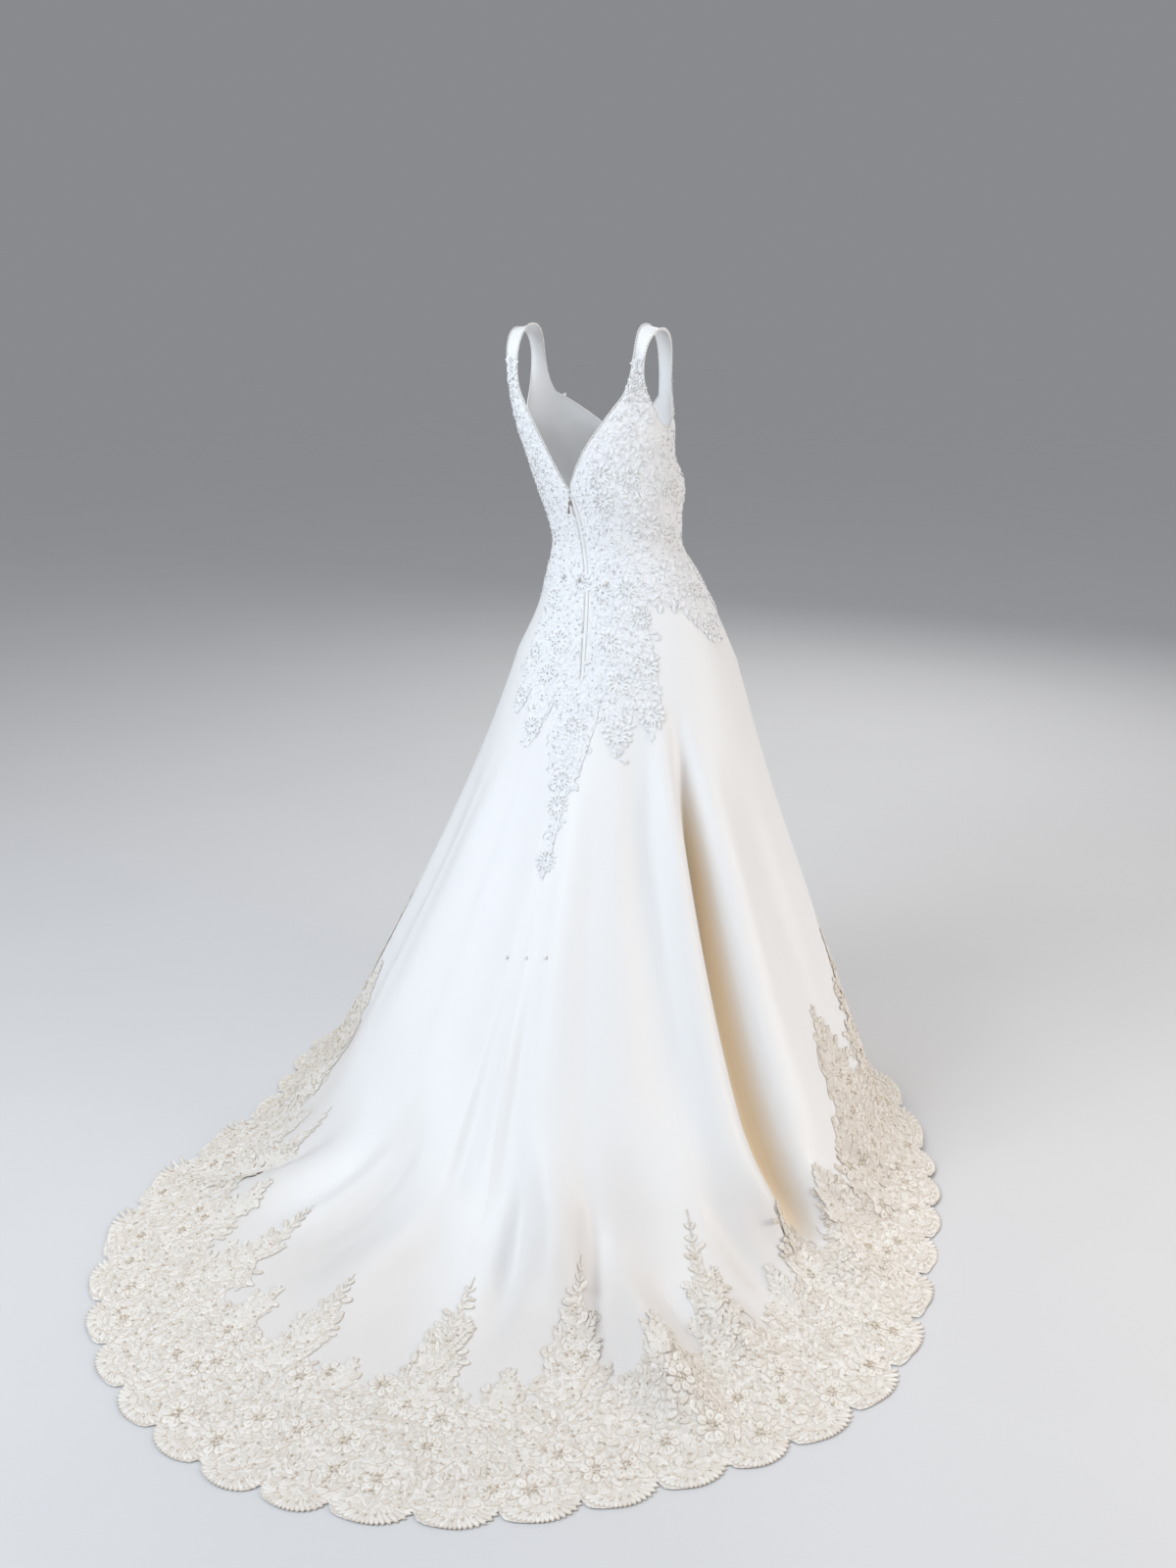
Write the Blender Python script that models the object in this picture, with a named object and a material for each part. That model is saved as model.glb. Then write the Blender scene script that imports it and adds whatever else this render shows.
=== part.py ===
"""A beaded-lace wedding dress with a V back and a chapel train, hollow, as it hangs on a wearer.

Metres, +Z up. The origin is midway between the undersides of the two shoulder straps.
The front of the dress faces -Y, the train lies towards +Y and the wearer's left is +X.

The cloth is one surface, given by an angle and a depth. The angle, in degrees, goes round from
the centre front (0) by the wearer's left side (90) to the centre back (180) and the right side
(270). The depth is metres below the shoulder down to the hip, and past the hip one more unit
reaches the hem. Each panel is a wall lofted over its own stretch of that surface, and all that
lies on a panel is made from the same points, moved out.
"""

import bmesh
import bpy
import numpy as np
from mathutils import Matrix, Vector

# Driving dimensions
FLOOR_DEPTH = 1.47  # shoulder straps to the floor
WALL = 0.0015  # satin with its lining
LACE = 0.0010  # corded lace
GAP = 0.0003  # between touching pieces
CLEAR = 0.0006  # under lace, so that its flat facets miss those of the panel
SEAM = 0.0004  # width of the gap between two panels
HIP = 0.57  # depth where the skirt starts
HEM = HIP + 1.0
STRAP_ROOT = 0.115  # depth where the straps leave the panels
UNDERARM = 0.165
ARMHOLE_BACK = 0.14  # where the armhole crosses the back's princess seam
BACK_V = 0.272  # depth of the point of the V back
FRONT_V = 0.215  # depth of the front neckline at its centre
STRAP_X = 0.135  # middle of a strap at the shoulder, from the centre
STRAP_WIDTH = 0.030
BUST_DEPTH, BUST_ANGLE, BUST_RISE = 0.262, 31.0, 0.020
WAIST = 0.365
BUTTON_DEPTH = 0.42  # the covered buttons over the hips
LOOP_DEPTH = HIP + 0.34  # the small buttons on the train
LAP_WIDTH = 0.0095  # satin lap over the zip
TAPE_WIDTH = 0.022
BORDER_REACH = 0.027  # how far a scallop of the hem lace stands past the cloth
BORDER_EDGE = 0.008  # and the hollow between two scallops

# Rings round the body. Half width, front and back are reaches from the ring's centre.
# The centre follows the standing pose, and twist turns the ring about its centre.
# depth, half width, front, back, centre x, centre y, twist in degrees
RINGS = np.array([
    (0.090, 0.158, 0.074, 0.082, 0.000, 0.000, 6),
    (0.150, 0.154, 0.092, 0.094, -0.010, 0.000, 2),
    (0.210, 0.145, 0.106, 0.097, -0.022, 0.000, -3),
    (0.272, 0.141, 0.113, 0.095, -0.038, -0.002, -7),
    (0.320, 0.133, 0.102, 0.090, -0.048, -0.006, -7),
    (0.365, 0.129, 0.094, 0.090, -0.055, -0.010, -7),
    (0.420, 0.151, 0.104, 0.107, -0.066, -0.016, -4),
    (0.500, 0.183, 0.126, 0.138, -0.073, -0.022, 0),
    (0.570, 0.213, 0.146, 0.166, -0.072, -0.022, 5),
])

# The skirt round its axis.
# cloth angle, radius where it meets the floor, radius of the hem, height of the hem, softness of
# the bend onto the floor
SKIRT = np.array([
    (0, 0.37, 0.38, 0.038, 0.03),
    (45, 0.44, 0.46, 0.038, 0.06),
    (75, 0.53, 0.55, 0.030, 0.10),
    (100, 0.58, 0.62, 0.012, 0.16),
    (124, 0.58, 0.70, 0.002, 0.24),
    (140, 0.58, 0.95, 0.000, 0.28),
    (155, 0.58, 1.085, 0.000, 0.30),
    (170, 0.59, 1.135, 0.000, 0.30),
    (187, 0.60, 1.10, 0.000, 0.30),
    (205, 0.60, 1.015, 0.000, 0.30),
    (225, 0.60, 0.93, 0.000, 0.26),
    (245, 0.60, 0.76, 0.002, 0.20),
    (265, 0.58, 0.65, 0.012, 0.14),
    (290, 0.52, 0.55, 0.030, 0.10),
    (320, 0.43, 0.45, 0.038, 0.06),
])
AXIS = (-0.05, 0.0)  # the skirt's axis at the floor
SWEEP = 10.0  # degrees that the train is swept round to the wearer's right at the floor
EASE = 0.2  # how much the skirt holds in below the hip before it flares

# Hanging folds of the skirt, troughs below zero. Reach is 0 at the hip and 1 at the floor.
# cloth angle at the hip and at the floor, height, half width in degrees, reach where it starts,
# is full, begins to fade and ends
FOLDS = np.array([
    (232, 232, -0.068, 6.5, 0.02, 0.40, 1.05, 1.38),
    (223, 224, 0.026, 7, 0.02, 0.40, 0.95, 1.20),
    (212, 214, -0.012, 9, 0.05, 0.30, 0.70, 0.95),
    (242, 243, 0.014, 8, 0.10, 0.40, 0.80, 1.00),
    (256, 257, -0.014, 9, 0.10, 0.50, 0.80, 1.00),
    (274, 274, 0.012, 10, 0.10, 0.50, 0.80, 1.00),
    (294, 294, -0.010, 10, 0.40, 0.80, 1.00, 1.10),
    (318, 318, 0.022, 13, 0.10, 0.70, 1.00, 1.10),
    (341, 341, -0.020, 12, 0.10, 0.70, 1.00, 1.10),
    (4, 4, 0.018, 12, 0.10, 0.70, 1.00, 1.10),
    (27, 27, -0.020, 13, 0.10, 0.70, 1.00, 1.10),
    (52, 52, 0.022, 13, 0.10, 0.70, 1.00, 1.10),
    (77, 77, -0.018, 13, 0.10, 0.60, 1.00, 1.10),
    (126, 122, -0.014, 11, 0.10, 0.50, 0.85, 1.00),
    (148, 146, 0.014, 11, 0.10, 0.40, 0.70, 0.90),
    (168, 167, -0.010, 9, 0.10, 0.40, 0.70, 0.90),
    (188, 190, 0.012, 8, 0.10, 0.60, 0.80, 1.00),
])

# Ridges where the train bunches on the floor.
# cloth angle where it starts and ends, reach where it starts and ends, height, half width
RIDGES = np.array([
    (190, 194, 0.80, 1.40, 0.040, 6),
    (200, 209, 1.05, 1.95, 0.045, 5),
    (225, 238, 0.80, 1.50, 0.035, 7),
    (211, 216, 1.15, 1.65, 0.030, 5),
    (172, 166, 0.95, 1.70, 0.025, 6),
    (152, 142, 0.90, 1.65, 0.028, 7),
    (128, 122, 0.85, 1.25, 0.020, 8),
])


def eased(x):
    """0 below 0, 1 above 1, and a smooth step between."""
    x = np.clip(x, 0.0, 1.0)
    return x * x * (3.0 - 2.0 * x)


def bump(x):
    """A soft bump: 1 at 0, and 0 with no slope from 1 outwards."""
    return np.clip(1.0 - x * x, 0.0, 1.0) ** 2


def through(at, knots, values):
    """Cubic pieces through the values at the knots, each slope taken from the neighbours."""
    slopes = np.gradient(values, knots)
    i = np.clip(np.searchsorted(knots, at, side="right") - 1, 0, len(knots) - 2)
    span = knots[i + 1] - knots[i]
    t = np.clip((at - knots[i]) / span, 0.0, 1.0)
    step = t * t * (3.0 - 2.0 * t)
    leave = t * (1.0 - t) ** 2 * span * slopes[i]
    arrive = t * t * (1.0 - t) * span * slopes[i + 1]
    return values[i] + (values[i + 1] - values[i]) * step + leave - arrive


def around(angle, column):
    """One column of the skirt's table, smooth all the way round."""
    knots = np.concatenate([SKIRT[:, 0] - 360, SKIRT[:, 0], SKIRT[:, 0] + 360])
    return through(np.mod(angle, 360.0), knots, np.tile(SKIRT[:, column], 3))


def ring_radius(angle, half_width, front, back):
    """Radius of a ring made of two half ellipses, a shallow one in front and one behind."""
    sine, cosine = np.sin(np.radians(angle)), np.cos(np.radians(angle))
    reach = np.where(cosine > 0, front, back)
    return 1.0 / np.hypot(sine / half_width, cosine / reach)


def placed(centre_x, centre_y, radius, turned, height):
    """Points at a radius and an angle round a centre, as x, y, z rows."""
    x = centre_x + radius * np.sin(np.radians(turned))
    y = centre_y - radius * np.cos(np.radians(turned))
    return np.stack(np.broadcast_arrays(x, y, height), axis=-1)


def body(angle, depth):
    """The bodice: rings from the table, rounded out over the bust cups."""
    half_width, front, back, x, y, twist = (
        through(depth, RINGS[:, 0], RINGS[:, k]) for k in range(1, 7)
    )
    radius = ring_radius(angle, half_width, front, back)
    away = np.abs((angle + 180.0) % 360.0 - 180.0) - BUST_ANGLE
    radius = radius + BUST_RISE * bump(away / 34.0) * bump((depth - BUST_DEPTH) / 0.105)
    return placed(x, y, radius, angle + twist, -depth)


def reach_of(angle, along):
    """How far a point of the skirt is towards the floor: 1 where it lands, more on the train."""
    start = ring_radius(angle, *RINGS[-1, 1:4])
    last = (around(angle, 2) - start) / (around(angle, 1) - start)
    hanging = 1.0 / (1.0 + 0.45 * (last - 1.0))
    lying = np.maximum(1.0 - hanging, 1e-6)
    beyond = 1.0 + (along - hanging) / lying * (last - 1.0)
    return np.where(along < hanging, along / hanging, beyond), last


def skirt(angle, along):
    """The skirt: each meridian flares from the hip, bends onto the floor and runs out to the hem."""
    half_width, front, back, hip_x, hip_y, twist = RINGS[-1, 1:]
    start = ring_radius(angle, half_width, front, back)
    landing, hem_height, soft = (around(angle, k) for k in (1, 3, 4))
    reach, last = reach_of(angle, along)

    def fall(u):
        return (1.0 - u + np.hypot(1.0 - u, soft)) / 2.0

    top = FLOOR_DEPTH - WALL - HIP
    share = (fall(reach) - fall(last)) / (fall(0.0) - fall(last))
    height = hem_height + (top - hem_height) * share
    held = EASE * reach * np.clip(1.0 - reach, 0.0, 1.0) ** 2
    radius = start + (landing - start) * (reach - held)
    down = eased(reach)
    swept = SWEEP * (1.0 - np.cos(np.radians(angle))) / 2.0
    turned = angle + twist + swept * np.minimum(reach, 1.0)
    x = hip_x + (AXIS[0] - hip_x) * down
    y = hip_y + (AXIS[1] - hip_y) * down
    return placed(x, y, radius, turned, height + WALL - FLOOR_DEPTH)


def smooth_dress(angle, depth):
    """The whole surface without its folds."""
    upper = body(angle, np.minimum(depth, HIP))
    lower = skirt(angle, np.maximum(depth - HIP, 0.0))
    return np.where((depth < HIP)[..., None], upper, lower)


def outward(surface, u, v, small=1e-4):
    """Unit normals of a surface of two parameters, from small differences."""
    across = surface(u + 100 * small, v) - surface(u - 100 * small, v)
    down = surface(u, v + small) - surface(u, v - small)
    normal = np.cross(down, across)
    return normal / np.linalg.norm(normal, axis=-1, keepdims=True)


def fold_height(angle, depth):
    """How far the folds of the skirt and the ridges of the train stand out."""
    reach, _ = reach_of(angle, np.maximum(depth - HIP, 0.0))
    total = np.zeros(np.broadcast(angle, depth).shape)
    for hip, floor, height, width, start, full, fade, end in FOLDS:
        path = hip + (floor - hip) * np.minimum(reach, 1.0)
        across = bump(((angle - path + 180.0) % 360.0 - 180.0) / width)
        grown = eased((reach - start) / (full - start))
        total += height * across * grown * (1.0 - eased((reach - fade) / (end - fade)))
    for first, last, start, end, height, width in RIDGES:
        along = (reach - start) / (end - start)
        path = first + (last - first) * along
        across = bump(((angle - path + 180.0) % 360.0 - 180.0) / width)
        total += height * across * bump(2.0 * along - 1.0)
    return total * (depth > HIP)


def dress(angle, depth):
    """The whole outer surface of the cloth."""
    angle, depth = np.broadcast_arrays(angle, depth)
    lift = fold_height(angle, depth)[..., None]
    return smooth_dress(angle, depth) + lift * outward(smooth_dress, angle, depth)


# Rows of every panel, as depths: on the strap, on the body and on the skirt
STRAP_ROWS = [0.0, 0.03, 0.06, 0.09]
BODY_ROWS = [0.20, 0.235, BACK_V, 0.32, WAIST, BUTTON_DEPTH, 0.50, HIP]
SKIRT_ROWS = [HIP + t for t in
              (0.07, 0.14, 0.21, 0.275, 0.34, 0.42, 0.51, 0.60, 0.68, 0.76, 0.84, 0.92, 1.0)]
COLUMNS = 6  # across each panel

# Seam and edge lines of the left half: depths, and degrees from the centre front or back
BACK_V_LINE = ([STRAP_ROOT, 0.20, BACK_V], [56, 24, 0])
BACK_PRINCESS = ([STRAP_ROOT, ARMHOLE_BACK, 0.20, BACK_V, WAIST, HEM], [74, 79, 60, 44, 34, 35])
FRONT_PRINCESS = ([STRAP_ROOT, 0.20, BUST_DEPTH, WAIST, HEM], [61, 38, 31, 27, 26])
FRONT_SIDE_LINE = ([STRAP_ROOT, 0.14, UNDERARM], [78, 82, 90])


def line(depth, drawn):
    """Angle of a seam or edge line at a depth."""
    return np.interp(depth, *drawn)


def strap(surface, s, depth, towards):
    """A strap: each of its lines leaves the panel's top row and arches over to the shoulder."""
    root = surface(s, np.full_like(s, STRAP_ROOT))
    rise = root - surface(s, np.full_like(s, STRAP_ROOT + 0.01))
    rise = rise / np.linalg.norm(rise, axis=-1, keepdims=True)
    side = np.sign(root[..., :1])
    across = 1.0 - s if towards * side[0, 0, 0] > 0 else s
    x = STRAP_X + STRAP_WIDTH * (across[..., None] - 0.5)
    top = np.concatenate([side * x, towards * SEAM / 2 + 0 * x, WALL - 0.2 * (x - STRAP_X)], -1)
    t = (depth / STRAP_ROOT)[..., None]
    before = top + np.array([0.0, towards * 0.048, 0.0])
    return (top * (1 - t) ** 3 + before * 3 * t * (1 - t) ** 2
            + (root + 0.05 * rise) * 3 * t * t * (1 - t) + root * t ** 3)


def with_strap(surface, towards):
    """A panel's surface carried on up its strap; towards is 1 behind and -1 in front."""
    def whole(s, depth):
        s, depth = np.broadcast_arrays(s, depth)
        cloth = surface(s, np.maximum(depth, STRAP_ROOT))
        arch = strap(surface, s, np.minimum(depth, STRAP_ROOT), towards)
        return np.where((depth < STRAP_ROOT)[..., None], arch, cloth)
    return whole


def mirrored(surface):
    """The same panel for the right half, its columns the other way round."""
    def other(s, depth):
        return surface(1.0 - s, depth)
    return other


def between(first, second, side):
    """Surface between two lines, each an angle by depth, on the left (1) or right (-1) half."""
    def surface(s, depth):
        angle = first(depth) + (second(depth) - first(depth)) * s
        return dress(angle if side > 0 else 360.0 - angle, depth)
    return surface


def topped(depth, top, first, still):
    """Rows from the first one to one that stays still, moved to start from a curved top edge."""
    share = np.clip((still - depth) / (still - first), 0.0, None)
    return np.where(depth < still, still - share * (still - top), depth)


def back(side):
    surface = between(lambda d: 180.0 - line(d, BACK_PRINCESS),
                      lambda d: 180.0 - line(d, BACK_V_LINE), side)
    return with_strap(surface if side > 0 else mirrored(surface), 1)


def front_side(side):
    surface = between(lambda d: line(d, FRONT_PRINCESS),
                      lambda d: line(d, FRONT_SIDE_LINE), side)
    return with_strap(surface if side > 0 else mirrored(surface), -1)


def back_side(side):
    plain = between(lambda d: 90.0 + 0.0 * d,
                    lambda d: 180.0 - line(d, BACK_PRINCESS), side)

    def surface(s, depth):
        s, depth = np.broadcast_arrays(s, depth)
        top = UNDERARM - (UNDERARM - ARMHOLE_BACK) * s
        return plain(s, topped(depth, top, UNDERARM, BODY_ROWS[0]))
    return surface if side > 0 else mirrored(surface)


def front_centre(s, depth):
    s, depth = np.broadcast_arrays(s, depth)
    across = 2.0 * s - 1.0
    top = FRONT_V - (FRONT_V - STRAP_ROOT) * np.abs(across) ** 1.3
    depth = topped(depth, top, STRAP_ROOT, WAIST)
    return dress(across * line(depth, FRONT_PRINCESS), depth)


LOWER = BODY_ROWS + SKIRT_ROWS
FRONT_ROWS = STRAP_ROWS + [STRAP_ROOT, ARMHOLE_BACK, UNDERARM] + LOWER
BACK_ROWS = STRAP_ROWS + [STRAP_ROOT, ARMHOLE_BACK] + LOWER
PANELS = {
    "front_centre": (front_centre, FRONT_ROWS[len(STRAP_ROWS):]),
    "front_side_left": (front_side(1), FRONT_ROWS),
    "front_side_right": (front_side(-1), FRONT_ROWS),
    "back_side_left": (back_side(1), [UNDERARM] + LOWER),
    "back_side_right": (back_side(-1), [UNDERARM] + LOWER),
    "back_left": (back(1), BACK_ROWS),
    "back_right": (back(-1), BACK_ROWS),
}


def lattice(surface, rows, columns=None):
    """Points and outward normals of a panel at its columns and rows, kept back from its seams."""
    columns = np.linspace(0, 1, COLUMNS + 1) if columns is None else np.asarray(columns)
    s, depth = np.meshgrid(columns, np.asarray(rows), indexing="ij")
    ends = surface(np.array([[0.0], [1.0]]), np.array([rows]))
    inset = SEAM / 2 / np.linalg.norm(ends[1] - ends[0], axis=-1)
    s = inset + s * (1.0 - 2.0 * inset)
    return surface(s, depth), outward(surface, s, depth)


# Materials
def material(name, colour, roughness, metallic=0.0):
    made = bpy.data.materials.new(name)
    made.use_nodes = True
    shader = made.node_tree.nodes["Principled BSDF"]
    shader.inputs["Base Color"].default_value = (*colour, 1.0)
    shader.inputs["Roughness"].default_value = roughness
    shader.inputs["Metallic"].default_value = metallic
    return made


for leftover in list(bpy.data.objects):
    bpy.data.objects.remove(leftover)
PARTS = bpy.data.collections.new("wedding_dress")
bpy.context.scene.collection.children.link(PARTS)
SATIN = material("ivory satin", (0.86, 0.87, 0.88), 0.42)
CORDED_LACE = material("corded lace", (0.78, 0.72, 0.63), 0.7)
PIPING = material("satin piping", (0.84, 0.82, 0.79), 0.5)
TAPE = material("zip tape", (0.80, 0.80, 0.80), 0.8)
NICKEL = material("nickel", (0.62, 0.58, 0.52), 0.3, 1.0)
PEARL = material("covered button", (0.85, 0.84, 0.83), 0.35)


def add(name, mesh, finish):
    made = bpy.data.objects.new(name, mesh)
    mesh.materials.append(finish)
    PARTS.objects.link(made)
    return made


def wall_faces(n, m):
    """Triangles of a wall: an outer grid of n by m points, an inner one, and the rim."""
    index = np.arange(n * m).reshape(n, m)
    a, b, c, d = index[:-1, :-1], index[1:, :-1], index[1:, 1:], index[:-1, 1:]
    sheet = np.concatenate([np.stack(t, -1).reshape(-1, 3) for t in ((a, d, c), (a, c, b))])
    loop = np.concatenate([index[0, :-1], index[:-1, -1], index[-1, :0:-1], index[:0:-1, 0]])
    return np.concatenate([sheet, sheet[:, ::-1] + n * m, rim(loop, n * m)])


def rim(loop, inner):
    """Triangles that join a loop of outer points, followed round its faces, to the inner ones."""
    after = np.roll(loop, -1)
    first = np.stack([after, loop, loop + inner], -1)
    second = np.stack([after, loop + inner, after + inner], -1)
    return np.concatenate([first, second])


def wall(name, outer, inner, finish):
    """A closed wall between two grids of points."""
    mesh = bpy.data.meshes.new(name)
    points = np.concatenate([outer.reshape(-1, 3), inner.reshape(-1, 3)])
    mesh.from_pydata(points.tolist(), [], wall_faces(*outer.shape[:2]).tolist())
    return add(name, mesh, finish)


# The seven full-length panels
for name, (surface, rows) in PANELS.items():
    points, normals = lattice(surface, rows)
    wall(name, points, points - WALL * normals, SATIN)


# Bodice lace, laid on each panel from below the strap to about the hip
def degree_length(depth):
    """Width of one degree of cloth at the centre back."""
    return np.linalg.norm(dress(180.5, depth) - dress(179.5, depth), axis=-1)


def clear_of_lap(s, depth):
    """The right back panel without the strip under the lap, below the point of the V."""
    width = line(depth, BACK_PRINCESS) * degree_length(depth)
    left = (LAP_WIDTH + 0.001) / width * np.clip((depth - 0.235) / (BACK_V - 0.235), 0.0, 1.0)
    return PANELS["back_right"][0](left + (1.0 - left) * s, depth)


for name, (surface, rows) in PANELS.items():
    lowest = SKIRT_ROWS[0] if name in ("back_left", "back_right") else 0.50
    laced = [row for row in rows if STRAP_ROOT <= row <= lowest]
    points, normals = lattice(clear_of_lap if name == "back_right" else surface, laced)
    wall("lace_" + name, points + (CLEAR + LACE) * normals, points + CLEAR * normals, CORDED_LACE)


# The centre back: zip tape inside, a lap of satin over it and a tail of lace below it
def centre_back(x, depth):
    """The back at a distance from its centre, towards the wearer's right where positive."""
    x, depth = np.broadcast_arrays(x, depth)
    return dress(180.0 + x / degree_length(depth), depth)


def tail(s, depth):
    """The back from the first line of the left panel (-1) to that of the right one (1)."""
    s, depth = np.broadcast_arrays(s, depth)
    return dress(180.0 + s * line(depth, BACK_PRINCESS) / COLUMNS, depth)


def back_strip(name, surface, columns, rows, low, thick, finish):
    """A strip down the centre back, low above the cloth or, where negative, inside it."""
    across, depth = np.meshgrid(np.array(columns), np.array(rows), indexing="ij")
    points, normals = surface(across, depth), outward(surface, across, depth)
    wall(name, points + (low + thick) * normals, points + low * normals, finish)


ZIP_ROWS = [BACK_V + 0.004, 0.32, WAIST, BUTTON_DEPTH, 0.50, HIP]
back_strip("zip_tape", centre_back, [-TAPE_WIDTH / 2, 0, TAPE_WIDTH / 2], ZIP_ROWS,
           -(WALL + 0.0008 + 0.0006), 0.0006, TAPE)
back_strip("placket_lap", centre_back, [GAP, LAP_WIDTH / 2, LAP_WIDTH], ZIP_ROWS,
           CLEAR, 0.0012, SATIN)
back_strip("lace_tail", tail, [-1, 0, 1], [SKIRT_ROWS[0] + 0.004] + SKIRT_ROWS[1:4],
           CLEAR, LACE, CORDED_LACE)


# Lace border of the hem: the panel's own lower rows, then one scallop for each column
def hem_lace(name, surface, rows, per_scallop=6):
    points, normals = lattice(surface, rows)
    n, m = points.shape[:2]
    last, inner = points[:, -1], points[:, -1] - points[:, -2]
    outwards = inner / np.linalg.norm(inner, axis=-1, keepdims=True)
    share = np.arange(per_scallop * (n - 1) + 1) / per_scallop
    cell = np.minimum(share.astype(int), n - 2)
    f = (share - cell)[:, None]

    def along(values):
        return values[cell] * (1 - f) + values[cell + 1] * f

    arch = np.sqrt(np.clip(1.0 - (2.0 * f - 1.0) ** 2, 0.0, 1.0))
    tips = along(last) + along(outwards) * (BORDER_EDGE + BORDER_REACH * arch)
    up = along(normals[:, -1])
    outer = np.concatenate([(points + (CLEAR + LACE) * normals).reshape(-1, 3),
                            tips + (CLEAR + LACE) * up])
    under = np.concatenate([(points + CLEAR * normals).reshape(-1, 3), tips + CLEAR * up])
    ground = GAP - FLOOR_DEPTH
    outer[:, 2] = np.maximum(outer[:, 2], ground + LACE)
    under[:, 2] = np.maximum(under[:, 2], ground)

    index = np.arange(n * m).reshape(n, m)
    a, b, c, d = index[:-1, :-1], index[1:, :-1], index[1:, 1:], index[:-1, 1:]
    sheet = [np.stack(t, -1).reshape(-1, 3) for t in ((a, d, c), (a, c, b))]
    half = per_scallop // 2
    fan = []
    for k in range(n - 1):
        base = n * m + per_scallop * k
        corner, opposite = index[k, -1], index[k + 1, -1]
        for j in range(per_scallop):
            fan.append((corner if j < half else opposite, base + j, base + j + 1))
        fan.append((corner, base + half, opposite))
    sheet = np.concatenate([*sheet, np.array(fan)])
    edge = n * m + np.arange(len(tips))
    loop = np.concatenate([index[0], edge, index[-1, ::-1], index[-2:0:-1, 0]])
    mesh = bpy.data.meshes.new(name)
    faces = np.concatenate([sheet, sheet[:, ::-1] + len(outer), rim(loop, len(outer))])
    mesh.from_pydata(np.concatenate([outer, under]).tolist(), [], faces.tolist())
    return add(name, mesh, CORDED_LACE)


for name, (surface, rows) in PANELS.items():
    first = HIP + (0.76 if name in ("back_left", "back_right", "front_centre") else 0.68)
    hem_lace("hem_" + name, surface, [row for row in rows if row > first - 0.01])


# Piping round the neck and the armholes: a cord beside each edge
PIPING_RADIUS = 0.0014


def beside(surface, s, depth, top_edge=False):
    """Points just past a side edge of a panel, or its top edge, where the piping's middle runs."""
    s, depth = np.broadcast_arrays(np.asarray(s, float), np.asarray(depth, float))
    points, normals = surface(s[None], depth[None])[0], outward(surface, s[None], depth[None])[0]
    if top_edge:
        run = surface(s[None] + 1e-3, depth[None])[0] - surface(s[None] - 1e-3, depth[None])[0]
        away = np.cross(normals, run)
    else:
        run = surface(s[None], depth[None] + 1e-4)[0] - surface(s[None], depth[None] - 1e-4)[0]
        away = np.cross(run, normals) * np.where(s > 0.5, -1.0, 1.0)[:, None]
    away = away / np.linalg.norm(away, axis=-1, keepdims=True)
    return points + away * (PIPING_RADIUS + GAP) - normals * WALL / 2


def cord(name, points, radius, finish, closed=False, sides=1):
    """A round cord through points, as a curve with a bevel."""
    curve = bpy.data.curves.new(name, "CURVE")
    curve.dimensions = "3D"
    spline = curve.splines.new("POLY")
    spline.points.add(len(points) - 1)
    for knot, point in zip(spline.points, points):
        knot.co = (*point, 1.0)
    spline.use_cyclic_u = closed
    curve.bevel_depth = radius
    curve.bevel_resolution = sides
    curve.use_fill_caps = True
    curve.materials.append(finish)
    PARTS.objects.link(bpy.data.objects.new(name, curve))


def rows_between(rows, first, last):
    return [row for row in rows if first <= row <= last]


TOP_COLUMNS = np.linspace(0, 1, COLUMNS + 1)
V_ROWS = rows_between(BACK_ROWS, 0.0, 0.24) + [BACK_V - 0.006]
NECK_ROWS = rows_between(FRONT_ROWS, 0.01, STRAP_ROOT - 0.01)
cord("neck_piping", np.concatenate([
    beside(PANELS["back_left"][0], 1.0, V_ROWS[::-1]),
    beside(PANELS["front_side_left"][0], 0.0, NECK_ROWS),
    beside(front_centre, TOP_COLUMNS[-2:0:-1], STRAP_ROOT, top_edge=True),
    beside(PANELS["front_side_right"][0], 1.0, NECK_ROWS[::-1]),
    beside(PANELS["back_right"][0], 0.0, V_ROWS),
]), PIPING_RADIUS, PIPING)
for name, outer in (("left", 0.0), ("right", 1.0)):
    under = TOP_COLUMNS[1:-1] if outer else TOP_COLUMNS[-2:0:-1]
    cord("armhole_piping_" + name, np.concatenate([
        beside(PANELS["back_" + name][0], outer, rows_between(BACK_ROWS, 0.0, STRAP_ROOT)),
        beside(PANELS["back_side_" + name][0], under[::-1] if outer else under, UNDERARM, True),
        beside(PANELS["front_side_" + name][0], 1.0 - outer,
               rows_between(FRONT_ROWS, 0.01, ARMHOLE_BACK)[::-1]),
    ]), PIPING_RADIUS, PIPING, closed=True)


# Hook and eye at the point of the V, each bent from one wire
def on_cloth(surface, u, depth, lift):
    """Frame on the cloth: X across it to the wearer's right, Y up it and Z outwards."""
    u, depth = np.array([[float(u)]]), np.array([[float(depth)]])
    normal = Vector(outward(surface, u, depth)[0, 0])
    across = Vector((surface(u + 1e-3, depth) - surface(u - 1e-3, depth))[0, 0])
    across = (across - across.project(normal)).normalized()
    frame = Matrix((across, normal.cross(across), normal)).transposed().to_4x4()
    frame.translation = Vector(surface(u, depth)[0, 0]) + normal * lift
    return frame


ON_LACE = CLEAR + LACE + GAP
WIRE = 0.00035
FASTENING = on_cloth(centre_back, 0.0, BACK_V + 0.007, ON_LACE + WIRE + GAP)


def wire(name, millimetres):
    """A wire through points given in the fastening's own frame."""
    cord(name, [FASTENING @ (Vector(point) / 1000) for point in millimetres], WIRE, NICKEL)


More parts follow.
